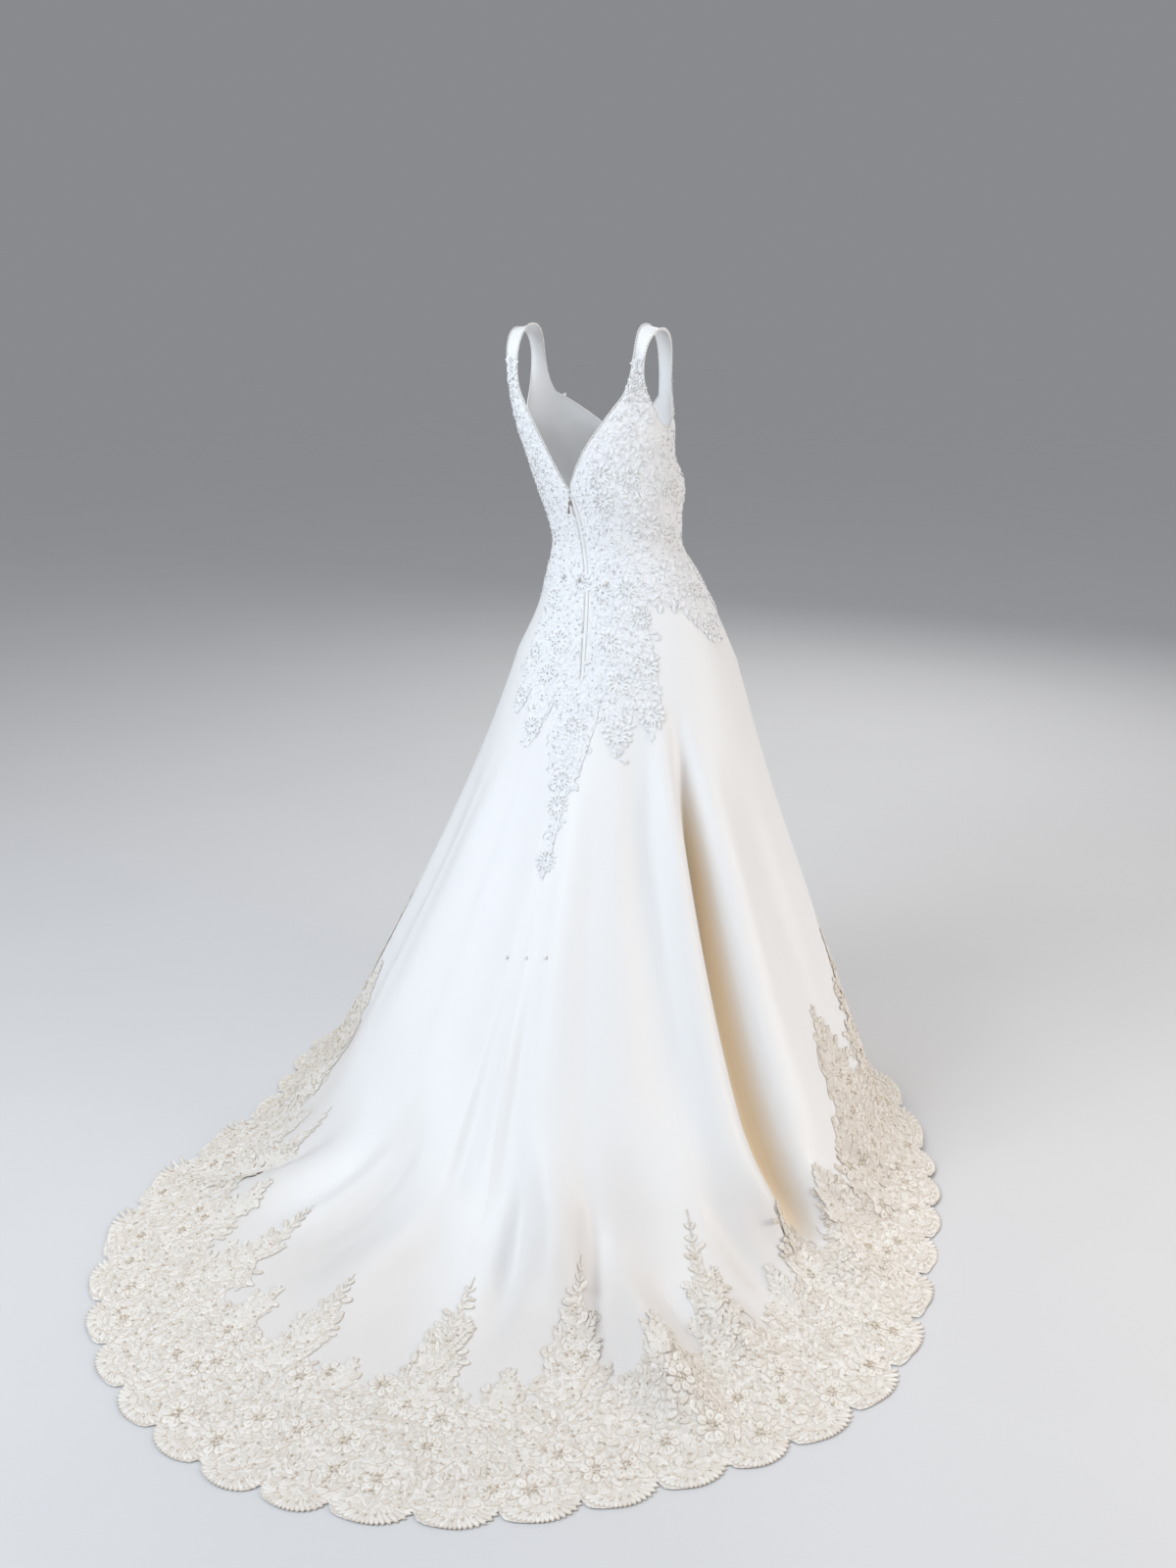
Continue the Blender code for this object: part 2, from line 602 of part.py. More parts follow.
wire("eye", [(-5.0, 0.9, 0), (-3.5, 1.3, 0), (-1.2, 1.0, 0.2), (-0.3, 0, 0.3),
             (-1.2, -1.0, 0.2), (-3.5, -1.3, 0), (-5.0, -0.9, 0)])
wire("hook", [(5.0, 0.9, 0.5), (3.4, 0.5, 1.0), (0.6, 0.3, 1.7), (-1.4, 0.1, 1.8),
              (-2.0, 0, 1.5), (-2.1, 0, 0.9)])

# Shapes for the small hard pieces, joined by booleans
HELPERS = bpy.data.collections.new("helpers")
HELPERS.hide_render = True
bpy.context.scene.collection.children.link(HELPERS)


def as_mesh(name, shape):
    mesh = bpy.data.meshes.new(name)
    bmesh.ops.recalc_face_normals(shape, faces=shape.faces)
    shape.to_mesh(mesh)
    shape.free()
    return mesh


def joined(name, first, steps, frame):
    """One metal body from a shape and the ones joined to it or cut from it, in order."""
    made = add(name, as_mesh(name, first), NICKEL)
    made.matrix_world = frame
    for k, (operation, shape) in enumerate(steps):
        helper = bpy.data.objects.new(f"{name}_helper_{k}", as_mesh(f"{name}_helper_{k}", shape))
        helper.matrix_world = frame
        helper.hide_render = True
        helper.display_type = "WIRE"
        HELPERS.objects.link(helper)
        step = made.modifiers.new(f"step {k}", "BOOLEAN")
        step.operation, step.solver, step.object = operation, "EXACT", helper


def block(size, middle):
    made = bmesh.new()
    bmesh.ops.create_cube(made, size=1.0, matrix=Matrix.LocRotScale(Vector(middle), None, Vector(size)))
    return made


def rod(radius, length, height=0.0, segments=16):
    """A cylinder along X, at a height above the frame."""
    made = bmesh.new()
    turned = Matrix.Translation((0, 0, height)) @ Matrix.Rotation(np.pi / 2, 4, "Y")
    bmesh.ops.create_cone(made, cap_ends=True, segments=segments, radius1=radius,
                          radius2=radius, depth=length, matrix=turned)
    return made


# Zip slider: a plate with two lugs and a pin between them
SLIDER_SIZE = (0.0050, 0.0090, 0.0012)
PIN_RADIUS, PIN_HEIGHT = 0.0005, 0.0036  # the pin's middle above the foot of the plate
LUG, LUG_GAP = 0.0010, 0.0018  # thickness of a lug, and the gap between the two
SLIDER = on_cloth(centre_back, -0.0032, BACK_V + 0.016, ON_LACE + GAP)
LUG_TOP = PIN_HEIGHT + 0.0010
lugs = [block((LUG, 0.0024, LUG_TOP - 0.0006), (x, 0, (LUG_TOP + 0.0006) / 2))
        for x in (-(LUG_GAP + LUG) / 2, (LUG_GAP + LUG) / 2)]
joined("zip_slider", block(SLIDER_SIZE, (0, 0, SLIDER_SIZE[2] / 2)),
       [("UNION", lugs[0]), ("UNION", lugs[1]), ("UNION", rod(PIN_RADIUS, LUG_GAP + LUG, PIN_HEIGHT))],
       SLIDER)

# Zip pull: a ring on the slider's pin and a teardrop tab that hangs straight down from it
PULL_LENGTH, PULL_WIDTH, PULL_THICKNESS = 0.0180, 0.0052, 0.0010
PULL_NECK, NECK_END = 0.0006, 0.0024  # half width of the tab between the lugs, and where it widens
RING_OUTER, RING_INNER, RING_WIDTH = 0.0016, 0.0009, 0.0012


def teardrop():
    """The tab: a neck inside the ring's rim, widening to a round lower end."""
    turn = np.radians(np.linspace(20, -200, 13))
    x = PULL_WIDTH / 2 * np.cos(turn)
    y = PULL_WIDTH / 2 * (1 + np.sin(turn)) - PULL_LENGTH
    top = -(RING_INNER + RING_OUTER) / 2
    x = [*x, -PULL_NECK, -PULL_NECK, PULL_NECK, PULL_NECK]
    y = [*y, -NECK_END, top, top, -NECK_END]
    made = bmesh.new()
    face = made.faces.new([made.verts.new((*point, -PULL_THICKNESS / 2)) for point in zip(x, y)])
    grown = bmesh.ops.extrude_face_region(made, geom=[face])["geom"]
    corners = [item for item in grown if isinstance(item, bmesh.types.BMVert)]
    bmesh.ops.translate(made, vec=(0, 0, PULL_THICKNESS), verts=corners)
    return made


hinge = SLIDER.col[0].xyz
up = Vector((0, 0, 1))
up = (up - up.project(hinge)).normalized()
HANGING = Matrix((hinge, up, hinge.cross(up))).transposed().to_4x4()
HANGING.translation = SLIDER @ Vector((0, 0, PIN_HEIGHT))
joined("zip_pull", rod(RING_OUTER, RING_WIDTH),
       [("UNION", teardrop()), ("DIFFERENCE", rod(RING_INNER, 2 * RING_WIDTH))], HANGING)


# Covered buttons: three over the hips, on the lace, and three small ones on the train's satin
def button(name, panel, s, depth, radius, lift):
    dome = 0.75  # height of the dome as a share of its radius
    shape = bmesh.new()
    bmesh.ops.create_uvsphere(shape, u_segments=12, v_segments=8, radius=radius,
                              matrix=Matrix.Diagonal((1, 1, dome, 1)))
    made = add(name, as_mesh(name, shape), PEARL)
    made.matrix_world = on_cloth(PANELS[panel][0], s, depth, lift + dome * radius)


button("hip_button_left", "back_left", 1 / 6, BUTTON_DEPTH, 0.0055, ON_LACE)
button("hip_button_centre", "back_left", 0.77, BUTTON_DEPTH, 0.0055, ON_LACE)
button("hip_button_right", "back_right", 0.65, BUTTON_DEPTH, 0.0055, ON_LACE)
button("train_button_left", "back_left", 5 / 6, LOOP_DEPTH, 0.0035, 2 * GAP)
button("train_button_centre", "back_left", 1.0, LOOP_DEPTH, 0.0035, 2 * GAP)
button("train_button_right", "back_right", 1 / 6, LOOP_DEPTH, 0.0035, 2 * GAP)

for made in PARTS.objects:
    if made.type == "MESH":
        made.data.shade_smooth()
        made.data.set_sharp_from_angle(angle=np.radians(40))
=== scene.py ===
import bpy
import numpy as np
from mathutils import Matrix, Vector


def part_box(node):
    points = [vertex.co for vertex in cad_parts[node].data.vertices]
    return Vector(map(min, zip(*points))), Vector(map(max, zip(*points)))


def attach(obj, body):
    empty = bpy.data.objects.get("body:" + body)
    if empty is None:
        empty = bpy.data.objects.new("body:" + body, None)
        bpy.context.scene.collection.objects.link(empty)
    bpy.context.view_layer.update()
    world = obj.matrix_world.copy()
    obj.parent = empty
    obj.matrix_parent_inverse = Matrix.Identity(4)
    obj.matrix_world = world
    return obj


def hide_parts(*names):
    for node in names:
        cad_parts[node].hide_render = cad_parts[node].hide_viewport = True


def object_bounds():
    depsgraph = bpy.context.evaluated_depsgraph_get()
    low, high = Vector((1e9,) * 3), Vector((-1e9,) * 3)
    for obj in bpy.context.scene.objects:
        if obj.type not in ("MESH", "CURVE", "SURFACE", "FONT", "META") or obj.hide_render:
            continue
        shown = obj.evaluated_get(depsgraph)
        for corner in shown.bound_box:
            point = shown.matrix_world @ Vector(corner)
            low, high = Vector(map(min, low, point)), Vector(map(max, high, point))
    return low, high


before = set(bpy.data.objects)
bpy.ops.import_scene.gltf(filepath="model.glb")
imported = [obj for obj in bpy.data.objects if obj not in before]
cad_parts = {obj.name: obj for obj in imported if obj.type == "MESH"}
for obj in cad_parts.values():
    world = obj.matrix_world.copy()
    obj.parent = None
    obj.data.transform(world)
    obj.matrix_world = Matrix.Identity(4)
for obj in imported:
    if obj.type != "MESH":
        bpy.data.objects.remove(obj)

CAD_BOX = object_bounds()
FLOOR = CAD_BOX[0].z

# ---------------------------------------------------------------------------------------------
# Studio: a plain pale floor, a broad cool light from high behind the wearer's left, a softer one
# from the front, a warm one from the right at chest height and two weak ones above. The camera
# stands behind the right shoulder, level with it, and looks down at the train.


def aimed(made, location, at):
    """An object placed at one point and turned to face another."""
    made.location = location
    made.rotation_euler = (Vector(at) - Vector(location)).to_track_quat("-Z", "Y").to_euler()
    bpy.context.scene.collection.objects.link(made)
    return made


def area_light(name, location, at, size, watts, colour):
    """A rectangular lamp turned to face a point."""
    lamp = bpy.data.lights.new(name, "AREA")
    lamp.shape, lamp.size, lamp.size_y = "RECTANGLE", size[0], size[1]
    lamp.energy, lamp.color = watts, colour
    aimed(bpy.data.objects.new(name, lamp), location, at)


CAMERA_DISTANCE, CAMERA_AZIMUTH, CAMERA_PITCH = 2.5, np.radians(215.0), np.radians(19.1)
CAMERA_HEIGHT = 1.5
lens = bpy.data.cameras.new("camera")
lens.sensor_fit, lens.sensor_height, lens.lens = "VERTICAL", 36.0, 31.5
away = Vector((np.sin(CAMERA_AZIMUTH), -np.cos(CAMERA_AZIMUTH), 0.0))
eye = CAMERA_DISTANCE * away + Vector((0, 0, FLOOR + CAMERA_HEIGHT))
below = Vector((0, 0, CAMERA_DISTANCE * np.tan(CAMERA_PITCH)))
camera = aimed(bpy.data.objects.new("camera", lens), eye, eye - CAMERA_DISTANCE * away - below)
bpy.context.scene.camera = camera

MIDDLE = (-0.1, 0.2, FLOOR + 0.7)
area_light("cool key", (1.0, 3.1, 1.4), MIDDLE, (2.2, 2.2), 94, (0.85, 0.925, 1.0))
area_light("soft front", (0.6, -3.2, 1.3), MIDDLE, (2.4, 2.4), 48, (1.0, 0.98, 0.95))
area_light("warm side", (-3.0, -0.3, -0.3), (-0.3, 0.2, FLOOR + 0.6), (1.2, 1.6), 34, (1.0, 0.92, 0.84))
area_light("top", (0.0, 0.4, 2.6), MIDDLE, (2.6, 2.6), 18, (1.0, 1.0, 1.0))
overhead = bpy.data.lights.new("overhead", "SUN")
overhead.energy, overhead.angle = 0.32, 1.5
aimed(bpy.data.objects.new("overhead", overhead), (0, 0, 3), (0, 0.01, 0))

world = bpy.data.worlds.new("studio")
world.use_nodes = True
world.node_tree.nodes["Background"].inputs["Color"].default_value = (0.80, 0.82, 0.86, 1.0)
world.node_tree.nodes["Background"].inputs["Strength"].default_value = 0.31
bpy.context.scene.world = world
bpy.context.scene.view_settings.view_transform = "Standard"


class Value:
    """A shader socket that takes part in arithmetic: each operator adds its Math node."""

    def __init__(self, tree, socket):
        self.tree, self.socket = tree, socket

    def _math(self, operation, first, second):
        return self.tree.node("ShaderNodeMath", {"operation": operation}, {0: first, 1: second})[0]

    def __add__(self, other):
        return self._math("ADD", self, other)

    def __sub__(self, other):
        return self._math("SUBTRACT", self, other)

    def __rsub__(self, other):
        return self._math("SUBTRACT", other, self)

    def __mul__(self, other):
        return self._math("MULTIPLY", self, other)

    def __gt__(self, other):
        return self._math("GREATER_THAN", self, other)

    __radd__, __rmul__ = __add__, __mul__


class Finish:
    """A material under construction. node() adds any node: its settings, then its sockets."""

    def __init__(self, name):
        self.material = bpy.data.materials.new(name)
        self.material.use_nodes = True
        self.nodes, self.links = self.material.node_tree.nodes, self.material.node_tree.links
        self.shader = self.nodes["Principled BSDF"]

    def feed(self, socket, value):
        if isinstance(value, Value):
            self.links.new(value.socket, socket)
        else:
            socket.default_value = value

    def node(self, kind, settings, sockets):
        made = self.nodes.new(kind)
        for key, value in settings.items():
            setattr(made, key, value)
        for key, value in sockets.items():
            self.feed(made.inputs[key], value)
        return [Value(self, output) for output in made.outputs]

    def set(self, **sockets):
        for key, value in sockets.items():
            self.feed(self.shader.inputs[key.replace("_", " ")], value)
        return self

    def mix(self, share, first, second):
        """Two colours mixed; each a link or three numbers."""
        made = self.nodes.new("ShaderNodeMix")
        made.data_type = "RGBA"
        for index, value in ((0, share), (6, first), (7, second)):
            self.feed(made.inputs[index], (*value, 1.0) if isinstance(value, tuple) else value)
        return Value(self, made.outputs[2])

    def attribute(self, name):
        return self.node("ShaderNodeAttribute", {"attribute_name": name}, {})[2]

    def place(self):
        return self.node("ShaderNodeTexCoord", {}, {})[3]

    def noise(self, scale, detail=2.0, where=None):
        where = where or self.place()
        return self.node("ShaderNodeTexNoise", {}, {"Vector": where, "Scale": scale, "Detail": detail})[0]

    def cells(self, scale, feature="F1", where=None):
        where = where or self.place()
        return self.node("ShaderNodeTexVoronoi", {"feature": feature}, {"Vector": where, "Scale": scale})[0]

    def wave(self, scale):
        """Level bands, one above another."""
        settings = {"wave_type": "BANDS", "bands_direction": "Z"}
        return self.node("ShaderNodeTexWave", settings, {"Vector": self.place(), "Scale": scale})[1]

    def bump(self, height, strength, distance):
        return self.node("ShaderNodeBump", {}, {"Height": height, "Strength": strength,
                                                "Distance": distance})[0]


FLOOR_GREY, FLOOR_HALF = (0.715, 0.715, 0.725), 30.0
paint = Finish("floor")
speckle = paint.noise(3.0, 3.0)
paint.set(Base_Color=paint.mix(speckle, tuple(0.96 * c for c in FLOOR_GREY), FLOOR_GREY), Roughness=0.85)
mesh = bpy.data.meshes.new("floor")
corners = [(FLOOR_HALF * x, FLOOR_HALF * y, FLOOR) for x, y in ((-1, -1), (1, -1), (1, 1), (-1, 1))]
mesh.from_pydata(corners, [], [(0, 1, 2, 3)])
mesh.materials.append(paint.material)
floor = bpy.data.objects.new("floor", mesh)
bpy.context.scene.collection.objects.link(floor)

# ---------------------------------------------------------------------------------------------
# The cloth's surface, which every piece below is made from. A point of it is an angle, degrees
# from the centre front (0) by the wearer's left (90) to the centre back (180), and a depth,
# metres below the shoulder as far as the hip, with one more unit from there to the hem.

SHOULDER_TO_FLOOR = 1.47
WALL = 0.0015  # height of the satin's outer face where it lies on the floor or a shoulder
HIP = 0.57  # depth where the skirt starts
HEM = HIP + 1.0
STRAP_ROOT, UNDERARM, ARMHOLE_BACK, WAIST = 0.115, 0.165, 0.14, 0.365  # depths
BACK_V, FRONT_V = 0.272, 0.215  # depths of the points of the two necklines
# A bust cup: depth and angle of its middle, height, half width in degrees and half length
BUST_DEPTH, BUST_ANGLE, BUST_RISE, CUP_HALF_ANGLE, CUP_HALF_LENGTH = 0.262, 31.0, 0.020, 34.0, 0.105

# depth, half width, front, back, centre x, centre y, twist in degrees
RINGS = np.array([
    (0.090, 0.158, 0.074, 0.082, 0.000, 0.000, 6),
    (0.150, 0.154, 0.092, 0.094, -0.010, 0.000, 2),
    (0.210, 0.145, 0.106, 0.097, -0.022, 0.000, -3),
    (0.272, 0.141, 0.113, 0.095, -0.038, -0.002, -7),
    (0.320, 0.133, 0.102, 0.090, -0.048, -0.006, -7),
    (0.365, 0.129, 0.094, 0.090, -0.055, -0.010, -7),
    (0.420, 0.151, 0.104, 0.107, -0.066, -0.016, -4),
    (0.500, 0.183, 0.126, 0.138, -0.073, -0.022, 0),
    (0.570, 0.213, 0.146, 0.166, -0.072, -0.022, 5),
])

# cloth angle, radius where the skirt meets the floor, radius of the hem, height of the hem,
# softness of the bend onto the floor
SKIRT = np.array([
    (0, 0.37, 0.38, 0.038, 0.03),
    (45, 0.44, 0.46, 0.038, 0.06),
    (75, 0.53, 0.55, 0.030, 0.10),
    (100, 0.58, 0.62, 0.012, 0.16),
    (124, 0.58, 0.70, 0.002, 0.24),
    (140, 0.58, 0.95, 0.000, 0.28),
    (155, 0.58, 1.085, 0.000, 0.30),
    (170, 0.59, 1.135, 0.000, 0.30),
    (187, 0.60, 1.10, 0.000, 0.30),
    (205, 0.60, 1.015, 0.000, 0.30),
    (225, 0.60, 0.93, 0.000, 0.26),
    (245, 0.60, 0.76, 0.002, 0.20),
    (265, 0.58, 0.65, 0.012, 0.14),
    (290, 0.52, 0.55, 0.030, 0.10),
    (320, 0.43, 0.45, 0.038, 0.06),
])
SKIRT_AXIS = (-0.05, 0.0)  # the skirt's axis at the floor
SWEEP = 10.0  # degrees that the train is swept round to the wearer's right at the floor
EASE = 0.2  # how much the skirt holds in below the hip before it flares
LYING_SHARE = 0.45  # depth taken by a unit of reach on the floor, against one that hangs

# Hanging folds, troughs below zero: cloth angle at the hip and at the floor, height, half width
# in degrees, reach where it starts, is full, begins to fade and ends (0 the hip, 1 the floor)
FOLDS = np.array([
    (232, 232, -0.068, 6.5, 0.02, 0.40, 1.05, 1.38),
    (223, 224, 0.026, 7, 0.02, 0.40, 0.95, 1.20),
    (212, 214, -0.012, 9, 0.05, 0.30, 0.70, 0.95),
    (242, 243, 0.014, 8, 0.10, 0.40, 0.80, 1.00),
    (256, 257, -0.014, 9, 0.10, 0.50, 0.80, 1.00),
    (274, 274, 0.012, 10, 0.10, 0.50, 0.80, 1.00),
    (294, 294, -0.010, 10, 0.40, 0.80, 1.00, 1.10),
    (318, 318, 0.022, 13, 0.10, 0.70, 1.00, 1.10),
    (341, 341, -0.020, 12, 0.10, 0.70, 1.00, 1.10),
    (4, 4, 0.018, 12, 0.10, 0.70, 1.00, 1.10),
    (27, 27, -0.020, 13, 0.10, 0.70, 1.00, 1.10),
    (52, 52, 0.022, 13, 0.10, 0.70, 1.00, 1.10),
    (77, 77, -0.018, 13, 0.10, 0.60, 1.00, 1.10),
    (126, 122, -0.014, 11, 0.10, 0.50, 0.85, 1.00),
    (148, 146, 0.014, 11, 0.10, 0.40, 0.70, 0.90),
    (168, 167, -0.010, 9, 0.10, 0.40, 0.70, 0.90),
    (188, 190, 0.012, 8, 0.10, 0.60, 0.80, 1.00),
])

# Ridges of the train on the floor: cloth angle where it starts and ends, reach where it starts
# and ends, height, half width. The last rows are creases too fine for the solids.
RIDGES = np.array([
    (190, 194, 0.80, 1.40, 0.040, 6),
    (200, 209, 1.05, 1.95, 0.045, 5),
    (225, 238, 0.80, 1.50, 0.035, 7),
    (211, 216, 1.15, 1.65, 0.030, 5),
    (172, 166, 0.95, 1.70, 0.025, 6),
    (152, 142, 0.90, 1.65, 0.028, 7),
    (128, 122, 0.85, 1.25, 0.020, 8),
    (178, 172, 0.40, 1.25, -0.007, 2.6),
    (182, 178, 0.35, 1.20, 0.006, 2.8),
    (160, 152, 0.90, 1.55, 0.014, 2.5),
    (165, 158, 0.85, 1.50, -0.011, 2.2),
    (186, 186, 0.90, 1.60, -0.016, 3.0),
    (196, 202, 0.90, 1.60, -0.018, 3.0),
    (216, 224, 0.90, 1.50, -0.014, 3.0),
    (238, 252, 0.90, 1.25, 0.016, 3.5),
    (246, 262, 0.85, 1.20, -0.012, 3.5),
    (146, 134, 1.00, 1.70, -0.013, 3.0),
    (20, 34, 0.30, 0.95, 0.005, 3.5),
    (332, 322, 0.35, 0.95, -0.005, 3.5),
    (92, 98, 0.30, 0.90, -0.005, 3.5),
])


def eased(x):
    """0 below 0, 1 above 1, and 3x² - 2x³ between."""
    x = np.clip(x, 0.0, 1.0)
    return x * x * (3.0 - 2.0 * x)


def bump(x):
    """(1 - x²)² between -1 and 1, and 0 outside."""
    return np.clip(1.0 - x * x, 0.0, 1.0) ** 2


def turn_between(angle, other):
    """Degrees from one angle to another, -180 to 180."""
    return (angle - other + 180.0) % 360.0 - 180.0


def through(at, knots, values):
    """Cubic pieces through the values at the knots, each slope taken from the neighbours."""
    slopes = np.gradient(values, knots)
    i = np.clip(np.searchsorted(knots, at, side="right") - 1, 0, len(knots) - 2)
    span = knots[i + 1] - knots[i]
    t = np.clip((at - knots[i]) / span, 0.0, 1.0)
    leave = t * (1.0 - t) ** 2 * span * slopes[i]
    arrive = t * t * (1.0 - t) * span * slopes[i + 1]
    return values[i] + (values[i + 1] - values[i]) * eased(t) + leave - arrive


def around(angle, column):
    """One column of the skirt's table, smooth all the way round."""
    knots = np.concatenate([SKIRT[:, 0] - 360, SKIRT[:, 0], SKIRT[:, 0] + 360])
    return through(np.mod(angle, 360.0), knots, np.tile(SKIRT[:, column], 3))


def ring_radius(angle, half_width, front, back):
    """Radius of two half ellipses: 1 / hypot(sin / half width, cos / reach)."""
    sine, cosine = np.sin(np.radians(angle)), np.cos(np.radians(angle))
    return 1.0 / np.hypot(sine / half_width, cosine / np.where(cosine > 0, front, back))


def placed(centre_x, centre_y, radius, turned, height):
    """Centre plus radius times (sin, -cos) of the angle, with the height as z."""
    x = centre_x + radius * np.sin(np.radians(turned))
    y = centre_y - radius * np.cos(np.radians(turned))
    return np.stack(np.broadcast_arrays(x, y, height), axis=-1)


def body(angle, depth):
    """The bodice: a ring for each depth, plus a soft round over each bust cup."""
    half_width, front, back, x, y, twist = (through(depth, RINGS[:, 0], RINGS[:, k])
                                            for k in range(1, 7))
    cup = bump((np.abs(turn_between(angle, 0.0)) - BUST_ANGLE) / CUP_HALF_ANGLE)
    radius = ring_radius(angle, half_width, front, back)
    radius = radius + BUST_RISE * cup * bump((depth - BUST_DEPTH) / CUP_HALF_LENGTH)
    return placed(x, y, radius, angle + twist, -depth)


def reach_of(angle, along):
    """Distance out from the hip, 1 where the cloth lands on the floor and more on the train."""
    start = ring_radius(angle, *RINGS[-1, 1:4])
    last = (around(angle, 2) - start) / (around(angle, 1) - start)
    hanging = 1.0 / (1.0 + LYING_SHARE * (last - 1.0))
    lying = np.maximum(1.0 - hanging, 1e-6)
    beyond = 1.0 + (along - hanging) / lying * (last - 1.0)
    return np.where(along < hanging, along / hanging, beyond), last


def skirt(angle, along):
    """Height falls as ((1 - u) + hypot(1 - u, soft)) / 2 of the reach u, radius grows with it."""
    half_width, front, back, hip_x, hip_y, twist = RINGS[-1, 1:]
    start = ring_radius(angle, half_width, front, back)
    landing, hem_height, soft = (around(angle, k) for k in (1, 3, 4))
    reach, last = reach_of(angle, along)

    def fall(u):
        return (1.0 - u + np.hypot(1.0 - u, soft)) / 2.0

    top = SHOULDER_TO_FLOOR - WALL - HIP
    share = (fall(reach) - fall(last)) / (fall(0.0) - fall(last))
    height = hem_height + (top - hem_height) * share
    held = EASE * reach * np.clip(1.0 - reach, 0.0, 1.0) ** 2
    radius = start + (landing - start) * (reach - held)
    down = eased(reach)
    turned = angle + twist + SWEEP * (1.0 - np.cos(np.radians(angle))) / 2 * np.minimum(reach, 1.0)
    x = hip_x + (SKIRT_AXIS[0] - hip_x) * down
    y = hip_y + (SKIRT_AXIS[1] - hip_y) * down
    return placed(x, y, radius, turned, height + WALL - SHOULDER_TO_FLOOR)


def smooth_dress(angle, depth):
    """Bodice above the hip and skirt below it, without folds."""
    upper, lower = body(angle, np.minimum(depth, HIP)), skirt(angle, np.maximum(depth - HIP, 0.0))
    return np.where((depth < HIP)[..., None], upper, lower)


def unit(vectors):
    """Each vector divided by its length."""
    return vectors / np.maximum(np.linalg.norm(vectors, axis=-1, keepdims=True), 1e-12)


def outward(surface, u, v, small=1e-4):
    """Unit normals: the cross product of the steps down and across."""
    across = surface(u + 100 * small, v) - surface(u - 100 * small, v)
    down = surface(u, v + small) - surface(u, v - small)
    return unit(np.cross(down, across))


def fold_height(angle, depth):
    """Folds and ridges summed: height times a bump across times a soft start and end."""
    reach, _ = reach_of(angle, np.maximum(depth - HIP, 0.0))
    total = np.zeros(np.broadcast(angle, depth).shape)
    for hip, ground, height, width, start, full, fade, end in FOLDS:
        path = hip + (ground - hip) * np.minimum(reach, 1.0)
        grown = eased((reach - start) / (full - start)) * (1.0 - eased((reach - fade) / (end - fade)))
        total += height * bump(turn_between(angle, path) / width) * grown
    for first, last, start, end, height, width in RIDGES:
        along = (reach - start) / (end - start)
        path = first + (last - first) * along
        total += height * bump(turn_between(angle, path) / width) * bump(2.0 * along - 1.0)
    return total * (depth > HIP)


def dress(angle, depth):
    """The outer face of the satin: the smooth surface moved along its normal by the folds."""
    angle, depth = np.broadcast_arrays(angle, depth)
    lift = fold_height(angle, depth)[..., None]
    return smooth_dress(angle, depth) + lift * outward(smooth_dress, angle, depth)


# ---------------------------------------------------------------------------------------------
# The seven satin panels, princess seamed and single layered: front centre, two front sides with
# their straps, two back sides under the armholes, and two backs with their straps, which meet
# at the zip. Each is cut from heavy ivory satin and joined at seams that barely show.

SEAM = 0.00005  # gap between two panels
STRAP_X, STRAP_WIDTH = 0.135, 0.030  # middle of a strap at the shoulder, and its width
STRAP_FALL, STRAP_LEVEL, STRAP_LEAVE = 0.2, 0.048, 0.05  # slope outwards, and the curve's handles
# Seam and edge lines of the left half: depths, and degrees from the centre front or back
BACK_V_LINE = ([STRAP_ROOT, 0.20, BACK_V], [56, 24, 0])
BACK_PRINCESS = ([STRAP_ROOT, ARMHOLE_BACK, 0.20, BACK_V, WAIST, HEM], [74, 79, 60, 44, 34, 35])
FRONT_PRINCESS = ([STRAP_ROOT, 0.20, BUST_DEPTH, WAIST, HEM], [61, 38, 31, 27, 26])
FRONT_SIDE_LINE = ([STRAP_ROOT, ARMHOLE_BACK, UNDERARM], [78, 82, 90])


def line(depth, drawn):
    """Angle of a seam or edge line at a depth, straight between its points."""
    return np.interp(depth, *drawn)


def strap(surface, s, depth, towards):
    """Cubic Bezier from the panel's top row, leaving along it, to the shoulder, arriving flat."""
    root = surface(s, np.full_like(s, STRAP_ROOT))
    rise = unit(root - surface(s, np.full_like(s, STRAP_ROOT + 0.01)))
    side = np.sign(root.reshape(-1, 3)[:1, :1])
    across = 1.0 - s if towards * side[0, 0] > 0 else s
    x = STRAP_X + STRAP_WIDTH * (across[..., None] - 0.5)
    height = WALL - STRAP_FALL * (x - STRAP_X)
    top = np.concatenate([side * x, towards * SEAM / 2 + 0 * x, height], -1)
    t = (depth / STRAP_ROOT)[..., None]
    before = top + np.array([0.0, towards * STRAP_LEVEL, 0.0])
    return (top * (1 - t) ** 3 + before * 3 * t * (1 - t) ** 2
            + (root + STRAP_LEAVE * rise) * 3 * t * t * (1 - t) + root * t ** 3)


def with_strap(surface, towards):
    """A panel's surface carried on up its strap; towards is 1 behind and -1 in front."""
    def whole(s, depth):
        s, depth = np.broadcast_arrays(s, depth)
        arch = strap(surface, s, np.minimum(depth, STRAP_ROOT), towards)
        cloth = surface(s, np.maximum(depth, STRAP_ROOT))
        return np.where((depth < STRAP_ROOT)[..., None], arch, cloth)
    return whole


def topped(depth, top, first, still):
    """Depths from the first row to one that stays still, moved to start from a curved edge."""
    share = np.clip((still - depth) / (still - first), 0.0, None)
    return np.where(depth < still, still - share * (still - top), depth)


def back_angles(side):
    """Angle of a back panel's point: from the V edge or the centre to the princess seam."""
    def angle(s, depth):
        near, far = line(depth, BACK_V_LINE), line(depth, BACK_PRINCESS)
        share = 1.0 - s if side > 0 else s
        return 180.0 - side * (near + (far - near) * share)
    return angle


